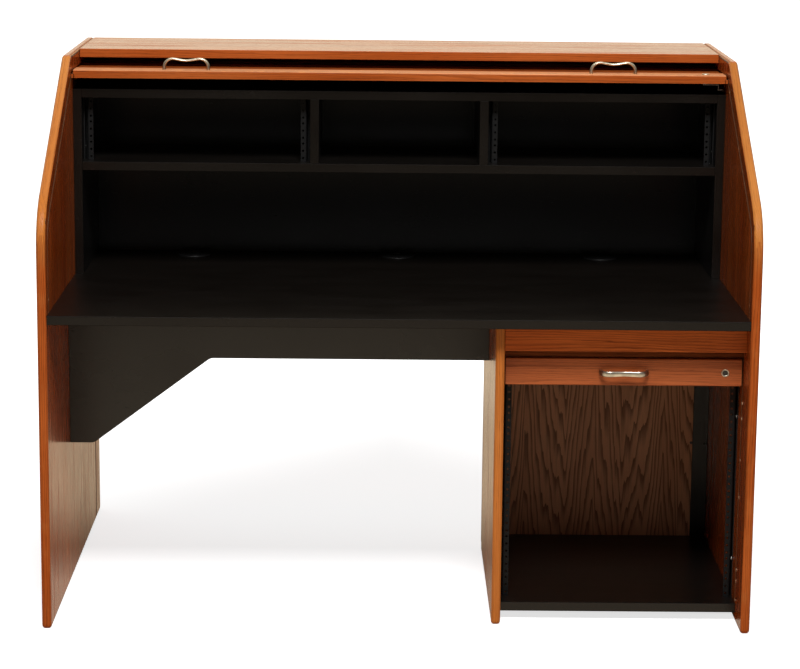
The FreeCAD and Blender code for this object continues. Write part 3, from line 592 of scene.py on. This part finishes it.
def gable_face(face):
    """Broad faces, edges and groove of the pedestal's gable."""
    centre = face.calc_center_median()
    along_groove = GABLE_GROOVE_FRONT_Y < centre.y < GABLE_GROOVE_REAR_Y
    if centre.x > GABLE_GROOVE_X and abs(face.normal.x) < BESIDE_GROOVE and along_groove:
        return GABLE_GROOVE
    return GABLE_BROAD if abs(face.normal.x) > BROADSIDE else GABLE_EDGE


def front_edge(face):
    return 1 if face.normal.y < FACING_FRONT else 0


def desktop_face(face):
    """Top, front and the rounding between them."""
    if face.normal.y < DESK_FRONT:
        return 1
    return 2 if face.normal.y < DESK_EASING else 0


for side in ("left", "right"):
    finishes = [f"oak_side_{side}", "oak_upright", f"oak_slope_{side}", "oak_crown", "groove", "oak_worn", "seam"]
    dressed(f"{side}_side_panel", finishes, side_face, *PANEL_EASE, "oak_veneer", side_worn)
gable_finishes = ["oak_gable", "oak_gable_edge", "groove", "oak_gable_edge"]
dressed("pedestal_gable", gable_finishes, gable_face, *PANEL_EASE, "oak_veneer")
dressed("top_panel", ["oak_top", "oak_lip", "oak_worn", "seam"], front_edge, *TOP_EASE, "oak_veneer", top_worn)
dressed("rear_panel", ["oak_rear", "oak_worn"], first_only, *FASCIA_EASE, "oak_veneer")
dressed("pedestal_fascia", ["oak_front", "oak_front"], first_only, *FASCIA_EASE, "oak_veneer")
dressed("pedestal_back", ["oak_back", "oak_back"], first_only, *BACK_EASE, "oak_veneer")
dressed("desktop", ["desktop", "black_edge", "black_worn"], desktop_face, *BLACK_EASE, "black_laminate")
# The modesty panel's front face takes the lighter copy, painted light.
dressed("modesty_panel", ["black", "black_panel_painted_light", "black_worn"], front_edge, *BLACK_EASE, "black_laminate")
for node in (
    "hutch_left_side", "hutch_right_side", "hutch_top", "hutch_shelf", "hutch_left_divider",
    "hutch_right_divider", "hutch_back", "pedestal_floor", "pedestal_rear_stile",
):
    dressed(node, ["black", "black_edge", "black_worn"], front_edge, *BLACK_EASE, "black_laminate")


# Tambour curtains

SLAT_RELIEF = 3.0 * MM
SLAT_EASE = (0.5 * MM, 2)
CLOTH_MARGIN = 0.02


def islands(bm):
    """The separate solids of a mesh, each as a list of its vertices."""
    seen = set()
    for start in bm.verts:
        if start in seen:
            continue
        island = [start]
        seen.add(start)
        for vert in island:
            for edge in vert.link_edges:
                other = edge.other_vert(vert)
                if other not in seen:
                    seen.add(other)
                    island.append(other)
        yield island


def x_reach(verts):
    return max(v.co.x for v in verts) - min(v.co.x for v in verts)


def middle_of(verts):
    return sum((vert.co for vert in verts), Vector()) / len(verts)


def plane_front(slat, cloths):
    """Moves a slat's show face back towards its cloth, so that it sits behind the lead rail's face."""
    centre = middle_of(slat)
    behind = min((middle_of(cloth) - centre for cloth in cloths), key=lambda way: way.length)
    for vert in slat:
        if (vert.co - centre).dot(behind) < 0:
            vert.co += behind.normalized() * SLAT_RELIEF


def curtain_piece(node):
    """Slats with eased edges and the narrower cloth behind them."""
    bm = solid_copy(node)
    width = x_reach(bm.verts)
    solids = list(islands(bm))
    cloths = [solid for solid in solids if x_reach(solid) < width - CLOTH_MARGIN]
    cloth = set(vert for solid in cloths for vert in solid)
    for solid in solids:
        if solid not in cloths:
            plane_front(solid, cloths)
    for face in bm.faces:
        face.material_index = 1 if face.verts[0] in cloth else 0
    ease_edges(bm, *SLAT_EASE, keep=lambda edge: edge.verts[0] not in cloth)
    curtain = "pedestal" if node.startswith("pedestal") else "main"
    stand_in(node + "_eased", bm, [f"oak_slats_{curtain}", "canvas"], node)


for node in NODES:
    if "_slat" in node:
        curtain_piece(node)


# Lead rails

MAIN_END_GAP, PED_END_GAP = 0.0045, 0.0036
TONGUE_LAP = 0.002
RAIL_EASE = (0.7 * MM, 2)
RAIL_FRONT, RAIL_TOP, RAIL_WORN, TONGUE = range(4)


def cut_end(bm, x, way):
    """Cuts off what lies beyond x and closes the cut."""
    geometry = bm.verts[:] + bm.edges[:] + bm.faces[:]
    cut = bmesh.ops.bisect_plane(bm, geom=geometry, plane_co=(x, 0, 0), plane_no=(way, 0, 0), clear_outer=True)
    rim = [item for item in cut["geom_cut"] if isinstance(item, bmesh.types.BMEdge)]
    bmesh.ops.edgenet_fill(bm, edges=rim)


def upper_face(face):
    return RAIL_TOP if face.normal.z > FACING_UP else RAIL_FRONT


def box_between(bm, low, high):
    low, high = Vector(low), Vector(high)
    corners = [(low.x, low.y), (high.x, low.y), (high.x, high.y), (low.x, high.y)]
    prism(bm, [(x / MM, y / MM) for x, y in corners], low.z / MM, high.z / MM)


def tongued_rail(door, left, right, setback, finishes, tongue_front):
    """A door's lead rail with tongues that run in the grooves, set back in millimetres from its front and its top."""
    node = f"{door}_lead_rail"
    low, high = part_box(node)
    bm = solid_copy(node)
    cut_end(bm, left, -1)
    cut_end(bm, right, 1)
    bmesh.ops.recalc_face_normals(bm, faces=bm.faces)
    eased = ease_edges(bm, *RAIL_EASE)
    bm.normal_update()
    for face in bm.faces:
        face.material_index = RAIL_WORN if face in eased else upper_face(face)
    rail_faces = set(bm.faces)
    near, far = low + Vector((0, setback[0], 0)) * MM, high - Vector((0, 0, setback[1])) * MM
    box_between(bm, near, (left + TONGUE_LAP, far.y, far.z))
    box_between(bm, (right - TONGUE_LAP, near.y, near.z), far)
    bmesh.ops.recalc_face_normals(bm, faces=bm.faces)
    for face in bm.faces:
        if face not in rail_faces:
            face.material_index = tongue_front if face.normal.y < FACING_FRONT else TONGUE
    stand_in(node + "_eased", bm, finishes, node)


# The main rail's top face takes the copy with painted sheen.
main_rail_finishes = ["oak_rail", "oak_rail_top", "oak_worn", "groove"]
door_rail_finishes = ["oak_door", "oak_door", "oak_worn", "groove"]
main_ends = -INNER_X + MAIN_END_GAP, INNER_X - MAIN_END_GAP
door_ends = GABLE_INNER_X + PED_END_GAP, INNER_X - PED_END_GAP
tongued_rail("main", *main_ends, (0, 9.0), main_rail_finishes, RAIL_FRONT)
# The pedestal rail's tongue fronts take the groove's dark wood: painted shade at the rail's ends.
tongued_rail("pedestal", *door_ends, (11.0, 0), door_rail_finishes, TONGUE)


# Bow pulls

ACROSS = Vector((1, 0, 0))
MAIN_PULL_X = 0.464
PED_PULL_X = 0.464
EDGE_D = 28.5 * MM
MAIN_LOW, MAIN_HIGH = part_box("main_lead_rail")
PED_LOW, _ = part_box("pedestal_lead_rail")
BOW_CORNERS = [(-48, 0), (-48, 27.1), (0, 18.7), (48, 27.1), (48, 0)]
BOW_RADII = [0, 19, 60, 19, 0]
BOW_STEP = 2.5
FOOT_T, GRIP_T, TAPER = 7.4, 4.6, 34.0
FOOT_W, GRIP_W = 12.4, 10.4
BOW_SIDES = 32
OVAL_POWER = 0.85


def rounded_line(corners, radii):
    """The corner points joined by straights and tangent arcs, in short steps."""
    line = [Vector(corners[0])]
    for number in range(1, len(corners) - 1):
        corner = Vector(corners[number])
        back = (Vector(corners[number - 1]) - corner).normalized()
        ahead = (Vector(corners[number + 1]) - corner).normalized()
        half = back.angle(ahead) / 2
        reach = radii[number] / math.tan(half)
        middle = corner + (back + ahead).normalized() * radii[number] / math.sin(half)
        start, end = corner + back * reach, corner + ahead * reach
        line += even_steps(line[-1], start)
        turn = math.pi - 2 * half
        count = max(2, math.ceil(turn * radii[number] / BOW_STEP))
        first, last = start - middle, end - middle
        for step in range(1, count + 1):
            share = step / count
            a, b = math.sin((1 - share) * turn), math.sin(share * turn)
            line.append(middle + (first * a + last * b) / math.sin(turn))
    return line + even_steps(line[-1], Vector(corners[-1]))


def even_steps(start, end):
    count = max(1, math.ceil((end - start).length / BOW_STEP))
    return [start.lerp(end, number / count) for number in range(1, count + 1)]


def oval(thick, wide):
    """Points round a softened rectangle, as height and width offsets."""
    points = []
    for number in range(BOW_SIDES):
        turn = 2 * math.pi * number / BOW_SIDES
        high, flat = math.cos(turn), math.sin(turn)
        points.append((
            math.copysign(abs(high) ** OVAL_POWER, high) * thick / 2,
            math.copysign(abs(flat) ** OVAL_POWER, flat) * wide / 2,
        ))
    return points


def bow_sections():
    """Place, heading and size of each section along the bow."""
    line = rounded_line(BOW_CORNERS, BOW_RADII)
    travelled = [0.0]
    for first, second in zip(line, line[1:]):
        travelled.append(travelled[-1] + (second - first).length)
    half = travelled[-1] / 2
    for number, point in enumerate(line):
        heading = (line[min(number + 1, len(line) - 1)] - line[max(number - 1, 0)]).normalized()
        from_foot = half - abs(travelled[number] - half)
        slim = min(1.0, from_foot / TAPER)
        slim = slim * slim * (3 - 2 * slim)
        thick = FOOT_T + (GRIP_T - FOOT_T) * slim
        wide = FOOT_W + (GRIP_W - FOOT_W) * from_foot / half
        yield point, heading, thick, wide


def bow_pull(bm, centre, out):
    """A cast bow that stands on two feet and dips in the middle."""
    sideways = out.cross(ACROSS)
    rings = []
    for point, heading, thick, wide in bow_sections():
        ring = []
        for rise, offset in oval(thick, wide):
            a = point.x - heading.y * rise
            h = point.y + heading.x * rise
            ring.append(bm.verts.new(centre + (ACROSS * a + out * h + sideways * offset) * MM))
        rings.append(ring)
    for first, second in zip(rings, rings[1:]):
        bridge(bm, first, second)
    bm.faces.new(rings[0])
    bm.faces.new(rings[-1])


def pull_piece(door, places, out):
    bm = bmesh.new()
    for place in places:
        bow_pull(bm, Vector(place), Vector(out))
    bmesh.ops.recalc_face_normals(bm, faces=bm.faces)
    stand_in(f"{door}_bow_pulls", bm, ["nickel"], f"{door}_pulls", SMALL_CREASE)


main_line_y = MAIN_LOW.y + EDGE_D
ped_line_z = PED_LOW.z + EDGE_D
pull_piece("main", [(x, main_line_y, MAIN_HIGH.z) for x in (-MAIN_PULL_X, MAIN_PULL_X)], (0, 0, 1))
pull_piece("pedestal", [(PED_PULL_X, PED_LOW.y, ped_line_z)], (0, -1, 0))


# Turned pieces


def lathe(bm, profile, sides, matrix):
    """A closed ring of radius and height points turned about the frame's Z."""
    rings = []
    for number in range(sides):
        turn = 2 * math.pi * number / sides
        spin = Vector((math.cos(turn), math.sin(turn), 0))
        rings.append([bm.verts.new(matrix @ ((spin * r + Vector((0, 0, z))) * MM)) for r, z in profile])
    for number in range(sides):
        bridge(bm, rings[number], rings[(number + 1) % sides])


def turned_frame(origin, axis):
    """A frame at the origin whose Z runs along the axis."""
    z = Vector(axis)
    x = Vector((0, 1, 0)) if abs(z.x) > 0.5 else ACROSS
    y = z.cross(x)
    return Matrix((
        (x.x, y.x, z.x, origin[0]), (x.y, y.y, z.y, origin[1]), (x.z, y.z, z.z, origin[2]), (0, 0, 0, 1),
    ))


def circle(radius, sides):
    turns = [2 * math.pi * number / sides for number in range(sides)]
    return [(radius * math.cos(turn), radius * math.sin(turn)) for turn in turns]


def ring_at(bm, points, z, matrix):
    return [bm.verts.new(matrix @ Vector((a * MM, b * MM, z * MM))) for a, b in points]


def loop_edges(bm, ring):
    pairs = zip(ring, ring[1:] + ring[:1])
    return [bm.edges.get(pair) or bm.edges.new(pair) for pair in pairs]


CAM_EASE, SCREW_EASE = (0.25, 2), (0.2, 2)
MAIN_LOCK_X, PED_LOCK_X = 0.665, 0.6735
LOCK_SIDES = 48
BARREL = [
    (5.3, -20.4), (7.5, -20.4), (7.5, 0.0), (8.2, 0.0), (8.3, 0.5), (8.1, 1.1), (7.5, 1.5), (6.5, 1.45),
    (5.8, 1.1), (5.4, 0.5), (5.3, 0.3),
]
PLUG_R, PLUG_TOP, PLUG_LOW = 5.2, 0.6, -20.7
KEY_SLOT = [(-0.6, -3.0), (0.6, -3.0), (0.6, 3.0), (-0.6, 3.0)]
KEY_DEEP = 4.0


def slotted_plug(bm, matrix):
    rim = ring_at(bm, circle(PLUG_R, LOCK_SIDES), PLUG_TOP, matrix)
    foot = ring_at(bm, circle(PLUG_R, LOCK_SIDES), PLUG_LOW, matrix)
    lip = ring_at(bm, KEY_SLOT, PLUG_TOP, matrix)
    floor = ring_at(bm, KEY_SLOT, PLUG_TOP - KEY_DEEP, matrix)
    bridge(bm, rim, foot)
    bridge(bm, lip, floor)
    bm.faces.new(floor)
    bm.faces.new(foot)
    bmesh.ops.triangle_fill(bm, edges=loop_edges(bm, rim) + loop_edges(bm, lip), use_beauty=True)


def lock_set(door, place, axis):
    """A round lock barrel and, sunk in it, the plug with its key slot."""
    matrix = turned_frame(place, axis)
    bm = bmesh.new()
    lathe(bm, BARREL, LOCK_SIDES, matrix)
    bmesh.ops.recalc_face_normals(bm, faces=bm.faces)
    stand_in(f"{door}_lock_turned_barrel", bm, ["nickel"], f"{door}_lock_barrel", SMALL_CREASE)
    bm = bmesh.new()
    slotted_plug(bm, matrix)
    bmesh.ops.recalc_face_normals(bm, faces=bm.faces)
    stand_in(f"{door}_lock_turned_plug", bm, ["dark_steel"], f"{door}_lock_plug", SMALL_CREASE)


lock_set("main", (MAIN_LOCK_X, main_line_y, MAIN_HIGH.z), (0, 0, 1))
lock_set("pedestal", (PED_LOCK_X, PED_LOW.y, ped_line_z), (0, -1, 0))
for door in ("main", "pedestal"):
    dressed(f"{door}_lock_cam", ["zinc", "zinc"], first_only, *CAM_EASE, "zinc_steel")
    dressed(f"{door}_pull_screws", ["zinc", "zinc"], first_only, *SCREW_EASE, "zinc_steel")


# Grommets

GROMMET_Y = 0.294
DESK_Z = 0.656
GROMMET_XS = {"left": -0.4675, "centre": 0.0, "right": 0.4675}
SLEEVE = [
    (26.5, -22.0), (31.5, -22.0), (31.5, 0.0), (38.0, 0.0), (38.0, 1.2), (37.2, 2.4), (35.4, 3.0), (30.4, 3.0),
    (29.6, 2.6), (29.5, 0.0), (26.5, 0.0),
]
CAP_R, CAP_LOW, CAP_TOP = 29.2, 0.3, 3.0
NOTCH_HALF, NOTCH_END = 7.0, 13.5
CAP_EASE = (0.5 * MM, 2)
ROUND_STEPS, NOTCH_STEPS = 72, 12


def grommet_sleeves():
    bm = bmesh.new()
    for x in GROMMET_XS.values():
        lathe(bm, SLEEVE, ROUND_STEPS, turned_frame((x, GROMMET_Y, DESK_Z), (0, 0, 1)))
    bmesh.ops.recalc_face_normals(bm, faces=bm.faces)
    stand_in("grommet_round_sleeves", bm, ["plastic"], "grommet_sleeves", SLEEVE_CREASE)


def cap_outline():
    """A disc with a round-ended cable notch at the rear."""
    start = math.asin(NOTCH_HALF / CAP_R)
    points = []
    for number in range(ROUND_STEPS + 1):
        turn = math.pi / 2 + start + (2 * math.pi - 2 * start) * number / ROUND_STEPS
        points.append((CAP_R * math.cos(turn), CAP_R * math.sin(turn)))
    for number in range(NOTCH_STEPS + 1):
        turn = math.pi * number / NOTCH_STEPS
        points.append((NOTCH_HALF * math.cos(turn), NOTCH_END + NOTCH_HALF * (1 - math.sin(turn))))
    return points


def grommet_cap(node, x):
    matrix = turned_frame((x, GROMMET_Y, DESK_Z), (0, 0, 1))
    bm = bmesh.new()
    low = ring_at(bm, cap_outline(), CAP_LOW, matrix)
    top = ring_at(bm, cap_outline(), CAP_TOP, matrix)
    bridge(bm, low, top)
    bm.faces.new(low)
    bm.faces.new(top)
    bmesh.ops.recalc_face_normals(bm, faces=bm.faces)
    ease_edges(bm, *CAP_EASE)
    stand_in(node + "_round", bm, ["plastic"], node, CAP_CREASE)


grommet_sleeves()
for side, x in GROMMET_XS.items():
    grommet_cap(f"{side}_grommet_cap", x)


# Rack rails

RAIL_T, RAIL_LEG, RAIL_WEB, RAIL_HEEL, RAIL_LIP, RAIL_BEND = 2.0, 26.0, 34.0, 8.0, 5.2, 3.0
RAIL_CLEAR, BEND_STEPS = 0.3, 4
HOLE_R, HOLE_SIDES = 2.6, 16
UNIT, FIRST_HOLE, HOLE_STEP, UNIT_HOLES = 44.45, 7.85, 15.875, 3

# Front face, base, top and number of units
BAY_RAILS = (63, 904, 1043.7, 3)
PEDESTAL_RAILS = (-337, 38, 528.45, 11)


def bend(x, y, side, x_way, y_way):
    """An outer bend of the strip, from one leg's line to the other's."""
    points = []
    for number in range(BEND_STEPS + 1):
        turn = math.pi / 2 * number / BEND_STEPS
        points.append((
            x + side * x_way * RAIL_BEND * (1 - math.sin(turn)), y + y_way * RAIL_BEND * (1 - math.cos(turn)),
        ))
    return points


def strip_outline(wall_x, hole_x, front):
    """The bent strip behind the drilled flange, seen from above."""
    side = math.copysign(1, hole_x - wall_x)
    heel_x = hole_x - side * RAIL_HEEL
    web_x, rear, leg = heel_x + side * RAIL_T, front + RAIL_WEB, front + RAIL_WEB - RAIL_LEG
    seam = heel_x + side * RAIL_BEND
    heel = [(seam, front)] + list(reversed(bend(heel_x, front, side, 1, 1)))[1:]
    tail = bend(web_x, rear, side, -1, -1)
    return (
        list(reversed(heel)) + [(seam, front + RAIL_T), (web_x, front + RAIL_T)] + tail
        + [(wall_x, rear), (wall_x, leg), (wall_x + side * RAIL_T, leg), (wall_x + side * RAIL_T, rear - RAIL_T),
           (heel_x, rear - RAIL_T)]
    )


def drilled_flange(bm, x0, x1, front, z0, z1, hole_x, heights):
    """The flat front of a rail with a round hole at each height."""
    rings = [[(x0, z0), (x1, z0), (x1, z1), (x0, z1)]]
    for z in heights:
        rings.append([(hole_x + a, z + b) for a, b in circle(HOLE_R, HOLE_SIDES)])
    sides = []
    for y in (front, front + RAIL_T):
        loops = [[bm.verts.new((x * MM, y * MM, z * MM)) for x, z in ring] for ring in rings]
        edges = [edge for loop in loops for edge in loop_edges(bm, loop)]
        bmesh.ops.triangle_fill(bm, edges=edges, use_beauty=True)
        sides.append(loops)
    for near, far in zip(*sides):
        bridge(bm, near, far)


def rack_rails(node, walls, holes, front, base, z1, units):
    """A pair of rails between two walls, with a hole row each."""
    heights = []
    for unit in range(units):
        heights += [base + FIRST_HOLE + UNIT * unit + HOLE_STEP * hole for hole in range(UNIT_HOLES)]
    z0 = base + RAIL_CLEAR
    bm = bmesh.new()
    for wall_x, hole_x in zip(walls, holes):
        side = math.copysign(1, hole_x - wall_x)
        prism(bm, strip_outline(wall_x, hole_x, front), z0, z1)
        seam = hole_x - side * (RAIL_HEEL - RAIL_BEND)
        drilled_flange(bm, seam, hole_x + side * RAIL_LIP, front, z0, z1, hole_x, heights)
    bmesh.ops.recalc_face_normals(bm, faces=bm.faces)
    stand_in(node + "_drilled", bm, ["rail_steel"], node, RAIL_CREASE)


rack_rails("left_bay_rack_rails", (-692, -194.5), (-675.8, -210.7), *BAY_RAILS)
rack_rails("right_bay_rack_rails", (194.5, 692), (210.7, 675.8), *BAY_RAILS)
rack_rails("pedestal_rack_rails", (217, 711), (231.45, 696.55), *PEDESTAL_RAILS)


# Small fasteners and chips

CROSS = [
    (0.13, 0.13), (0.42, 0.13), (0.42, -0.13), (0.13, -0.13), (0.13, -0.42), (-0.13, -0.42), (-0.13, -0.13),
    (-0.42, -0.13), (-0.42, 0.13), (-0.13, 0.13), (-0.13, 0.42), (0.13, 0.42),
]
HEAD = [(1.0, 0.0), (0.97, 0.20), (0.80, 0.42), (0.50, 0.53)]
HEAD_TOP, CROSS_FLOOR, HEAD_SIDES = 0.53, 0.15, 20
STILE_SCREWS = [(673, 257), (703, 255), (687, 47), (707, 47)]
STILE_Y, STILE_SCREW_R = 0.141, 3.2
LEG_SCREWS = [(side * 690, -side) for side in (-1, 1)] + [(side * 196.5, side) for side in (-1, 1)]
LEG_SCREW_Y, LEG_SCREW_ZS, LEG_SCREW_R = 0.084, (1013, 931), 3.0
RAIL_SCREWS = [(709, -1), (219, 1)]
RAIL_SCREW_Y, RAIL_SCREW_ZS, RAIL_SCREW_R = -0.3245, (426, 119), 3.8

# Depth, height and size of each chip, then the shape that they share
CHIPS = [
    (90.8, 469, 3.4), (91.5, 436, 2.6), (92, 348, 2.0), (90.8, 268, 3.4), (90.8, 112, 3.4), (91, 88, 3.0),
    (92, 46, 2.0),
]
CHIP_SIDES, CHIP_BITE, CHIP_LIFT = 14, 0.1, 1.3
CHIP_WIDE, CHIP_TALL = 0.7, 1.25
LIP_WIDE, LIP_TALL = 0.8, 0.85
RAGGED_MEAN, RAGGED_SWING, RAGGED_TURN = 0.75, 0.25, 2.3


def pan_screw(bm, place, normal, radius):
    """A domed screw head with a cross recess."""
    matrix = turned_frame(place, normal)
    rings = []
    for share, height in HEAD:
        rings.append(ring_at(bm, circle(radius * share, HEAD_SIDES), radius * height, matrix))
    for first, second in zip(rings, rings[1:]):
        bridge(bm, first, second)
    bm.faces.new(rings[0])
    cross = [(a * radius, b * radius) for a, b in CROSS]
    lip = ring_at(bm, cross, radius * HEAD_TOP, matrix)
    floor = ring_at(bm, cross, radius * CROSS_FLOOR, matrix)
    bridge(bm, lip, floor)
    bm.faces.new(floor)
    bmesh.ops.triangle_fill(bm, edges=loop_edges(bm, rings[-1]) + loop_edges(bm, lip), use_beauty=True)


def carcass_screws():
    """The dark screws in the pedestal's rear stile and in the legs of the bays' rack rails."""
    bm = bmesh.new()
    for x, z in STILE_SCREWS:
        pan_screw(bm, (x * MM, STILE_Y, z * MM), (0, -1, 0), STILE_SCREW_R)
    for x, way in LEG_SCREWS:
        for z in LEG_SCREW_ZS:
            pan_screw(bm, (x * MM, LEG_SCREW_Y, z * MM), (way, 0, 0), LEG_SCREW_R)
    bmesh.ops.recalc_face_normals(bm, faces=bm.faces)
    screws = new_piece("carcass_screws", bm, ["dark_steel"], "desk", SMALL_CREASE)


def rail_screws():
    """The bright screws that hold the pedestal's rack rails by their legs."""
    bm = bmesh.new()
    for x, way in RAIL_SCREWS:
        for z in RAIL_SCREW_ZS:
            pan_screw(bm, (x * MM, RAIL_SCREW_Y, z * MM), (way, 0, 0), RAIL_SCREW_R)
    bmesh.ops.recalc_face_normals(bm, faces=bm.faces)
    screws = new_piece("rail_screws", bm, ["bright_zinc"], "desk", SMALL_CREASE)


def veneer_chips():
    """Small lifted chips along the groove in the right panel, each of its own ragged outline."""
    bm = bmesh.new()
    for number, (depth, z, size) in enumerate(CHIPS):
        matrix = turned_frame((INNER_X, depth * MM + FRONT_Y, z * MM), (-1, 0, 0))
        ragged = []
        for step, (a, b) in enumerate(circle(size, CHIP_SIDES)):
            reach = RAGGED_MEAN + RAGGED_SWING * math.sin(RAGGED_TURN * step + number)
            ragged.append((a * reach * CHIP_WIDE, b * reach * CHIP_TALL))
        foot = ring_at(bm, ragged, -CHIP_BITE, matrix)
        lip = ring_at(bm, [(a * LIP_WIDE, b * LIP_TALL) for a, b in ragged], CHIP_LIFT, matrix)
        bridge(bm, foot, lip)
        bm.faces.new(lip)
        bm.faces.new(foot)
    bmesh.ops.recalc_face_normals(bm, faces=bm.faces)
    chips = new_piece("veneer_chips", bm, ["raw_wood"], "desk", SMALL_CREASE)


carcass_screws()
rail_screws()
veneer_chips()


# Stage, light and camera

FLOOR_HALF = 30.0
FAR_FLOOR, NEAR_FLOOR, SEEN_FLOOR = (0.08, 0.07, 0.06), (0.70, 0.58, 0.43), (0.85, 0.85, 0.85)
WHITE, WARM_GLOW, WARM_WALL = (1, 1, 1), (1.0, 0.76, 0.48), (1.0, 0.88, 0.65)
KEY_AT, KEY_AIM = (0.12, -3.34, 4.58), (0, 0, 0.6)
KEY_SIZE, KEY_WATTS = (1.5, 1.4), 275


def floor_plane():
    """A pale floor: white to the camera away from the shadow, warm and darker far in front to the desk."""
    shader = Shader("studio_floor")
    x, y, _ = shader.parts(shader.place())
    path = shader.add("LightPath").outputs
    warm = shader.mix(shader.ramp(y, -6.0, -1.5), shade(FAR_FLOOR), shade(NEAR_FLOOR))
    color = shader.mix(path["Is Camera Ray"], warm, shade(SEEN_FLOOR))
    away = shader.ramp(shader.math("ADD", shader.math("ABSOLUTE", x), shader.math("ABSOLUTE", y)), 0.9, 2.2)
    seen = shader.math("MULTIPLY", path["Is Camera Ray"], shader.scaled(away, 0.42, 0.72))
    mirrored = shader.math("MULTIPLY", path["Is Glossy Ray"], shader.scaled(shader.ramp(y, -0.2, 0.8), 0.55))
    shader.put(shader.surface.inputs["Emission Strength"], shader.math("ADD", seen, mirrored))
    glow = shader.mix(path["Is Camera Ray"], shade(WARM_GLOW), shade(WHITE))
    shader.put(shader.surface.inputs["Emission Color"], glow)
    finish = shader.finish(color, 0.9, Specular_IOR_Level=0.1)
    bm = bmesh.new()
    bmesh.ops.create_grid(bm, x_segments=1, y_segments=1, size=FLOOR_HALF)
    mesh = bpy.data.meshes.new("studio_floor")
    bm.to_mesh(mesh)
    bm.free()
    mesh.materials.append(finish)
    floor = bpy.data.objects.new("studio_floor", mesh)
    bpy.context.scene.collection.objects.link(floor)


def soft_box(name, place, target, size, watts):
    lamp = bpy.data.lights.new(name, "AREA")
    lamp.shape = "RECTANGLE"
    lamp.size, lamp.size_y = size
    lamp.energy = watts
    holder = bpy.data.objects.new(name, lamp)
    holder.location = place
    holder.rotation_euler = (Vector(target) - Vector(place)).to_track_quat("-Z", "Y").to_euler()
    bpy.context.scene.collection.objects.link(holder)


class World(Shader):
    """A world's node tree, built with the same helpers."""

    def __init__(self, name):
        self.world = bpy.data.worlds.new(name)
        self.world.use_nodes = True
        self.tree = self.world.node_tree
        self.surface = self.tree.nodes["Background"]

    def blend(self, factor, a, b):
        node = self.add("Mix", data_type="FLOAT")
        self.put(node.inputs[NUMBER_FACTOR], factor)
        self.put(node.inputs[NUMBER_A], a)
        self.put(node.inputs[NUMBER_B], b)
        return node.outputs[NUMBER_OUT]


def studio_world():
    """White to the camera; a white wall behind the desk and a dim room in front for light and gloss."""
    room = World("studio")
    _, y, _ = room.parts(room.add("TexCoord").outputs["Generated"])
    behind = room.ramp(y, -0.1, 0.5)
    path = room.add("LightPath").outputs
    level = room.blend(path["Is Glossy Ray"], room.scaled(behind, 0.35, 0.10), room.scaled(behind, 0.965, 0.035))
    level = room.blend(path["Is Camera Ray"], level, 1.0)
    tint = room.mix(path["Is Glossy Ray"], shade(WHITE), shade(WARM_WALL))
    room.put(room.surface.inputs["Color"], tint)
    room.put(room.surface.inputs["Strength"], level)
    bpy.context.scene.world = room.world


def photo_camera():
    yaw, pitch, roll = (math.radians(a) for a in (YAW_DEG, PITCH_DEG, ROLL_DEG))
    ahead = Vector((math.sin(yaw) * math.cos(pitch), math.cos(yaw) * math.cos(pitch), math.sin(pitch)))
    right = Vector((math.cos(yaw), -math.sin(yaw), 0))
    down = ahead.cross(right)
    level = right * math.cos(roll) + down * math.sin(roll)
    lower = down * math.cos(roll) - right * math.sin(roll)
    lens = bpy.data.cameras.new("photo_camera")
    lens.sensor_fit = "HORIZONTAL"
    lens.sensor_width = SENSOR_MM
    lens.lens = FOCAL_PX / PHOTO_W * SENSOR_MM
    lens.clip_end = FAR_CLIP
    camera = bpy.data.objects.new("photo_camera", lens)
    camera.matrix_world = Matrix((
        (level.x, -lower.x, -ahead.x, CAMERA_AT[0]), (level.y, -lower.y, -ahead.y, CAMERA_AT[1]),
        (level.z, -lower.z, -ahead.z, CAMERA_AT[2]), (0, 0, 0, 1),
    ))
    bpy.context.scene.collection.objects.link(camera)
    bpy.context.scene.camera = camera


floor_plane()
studio_world()
soft_box("key_light", KEY_AT, KEY_AIM, KEY_SIZE, KEY_WATTS)
photo_camera()
bpy.context.scene.view_settings.view_transform = "Standard"
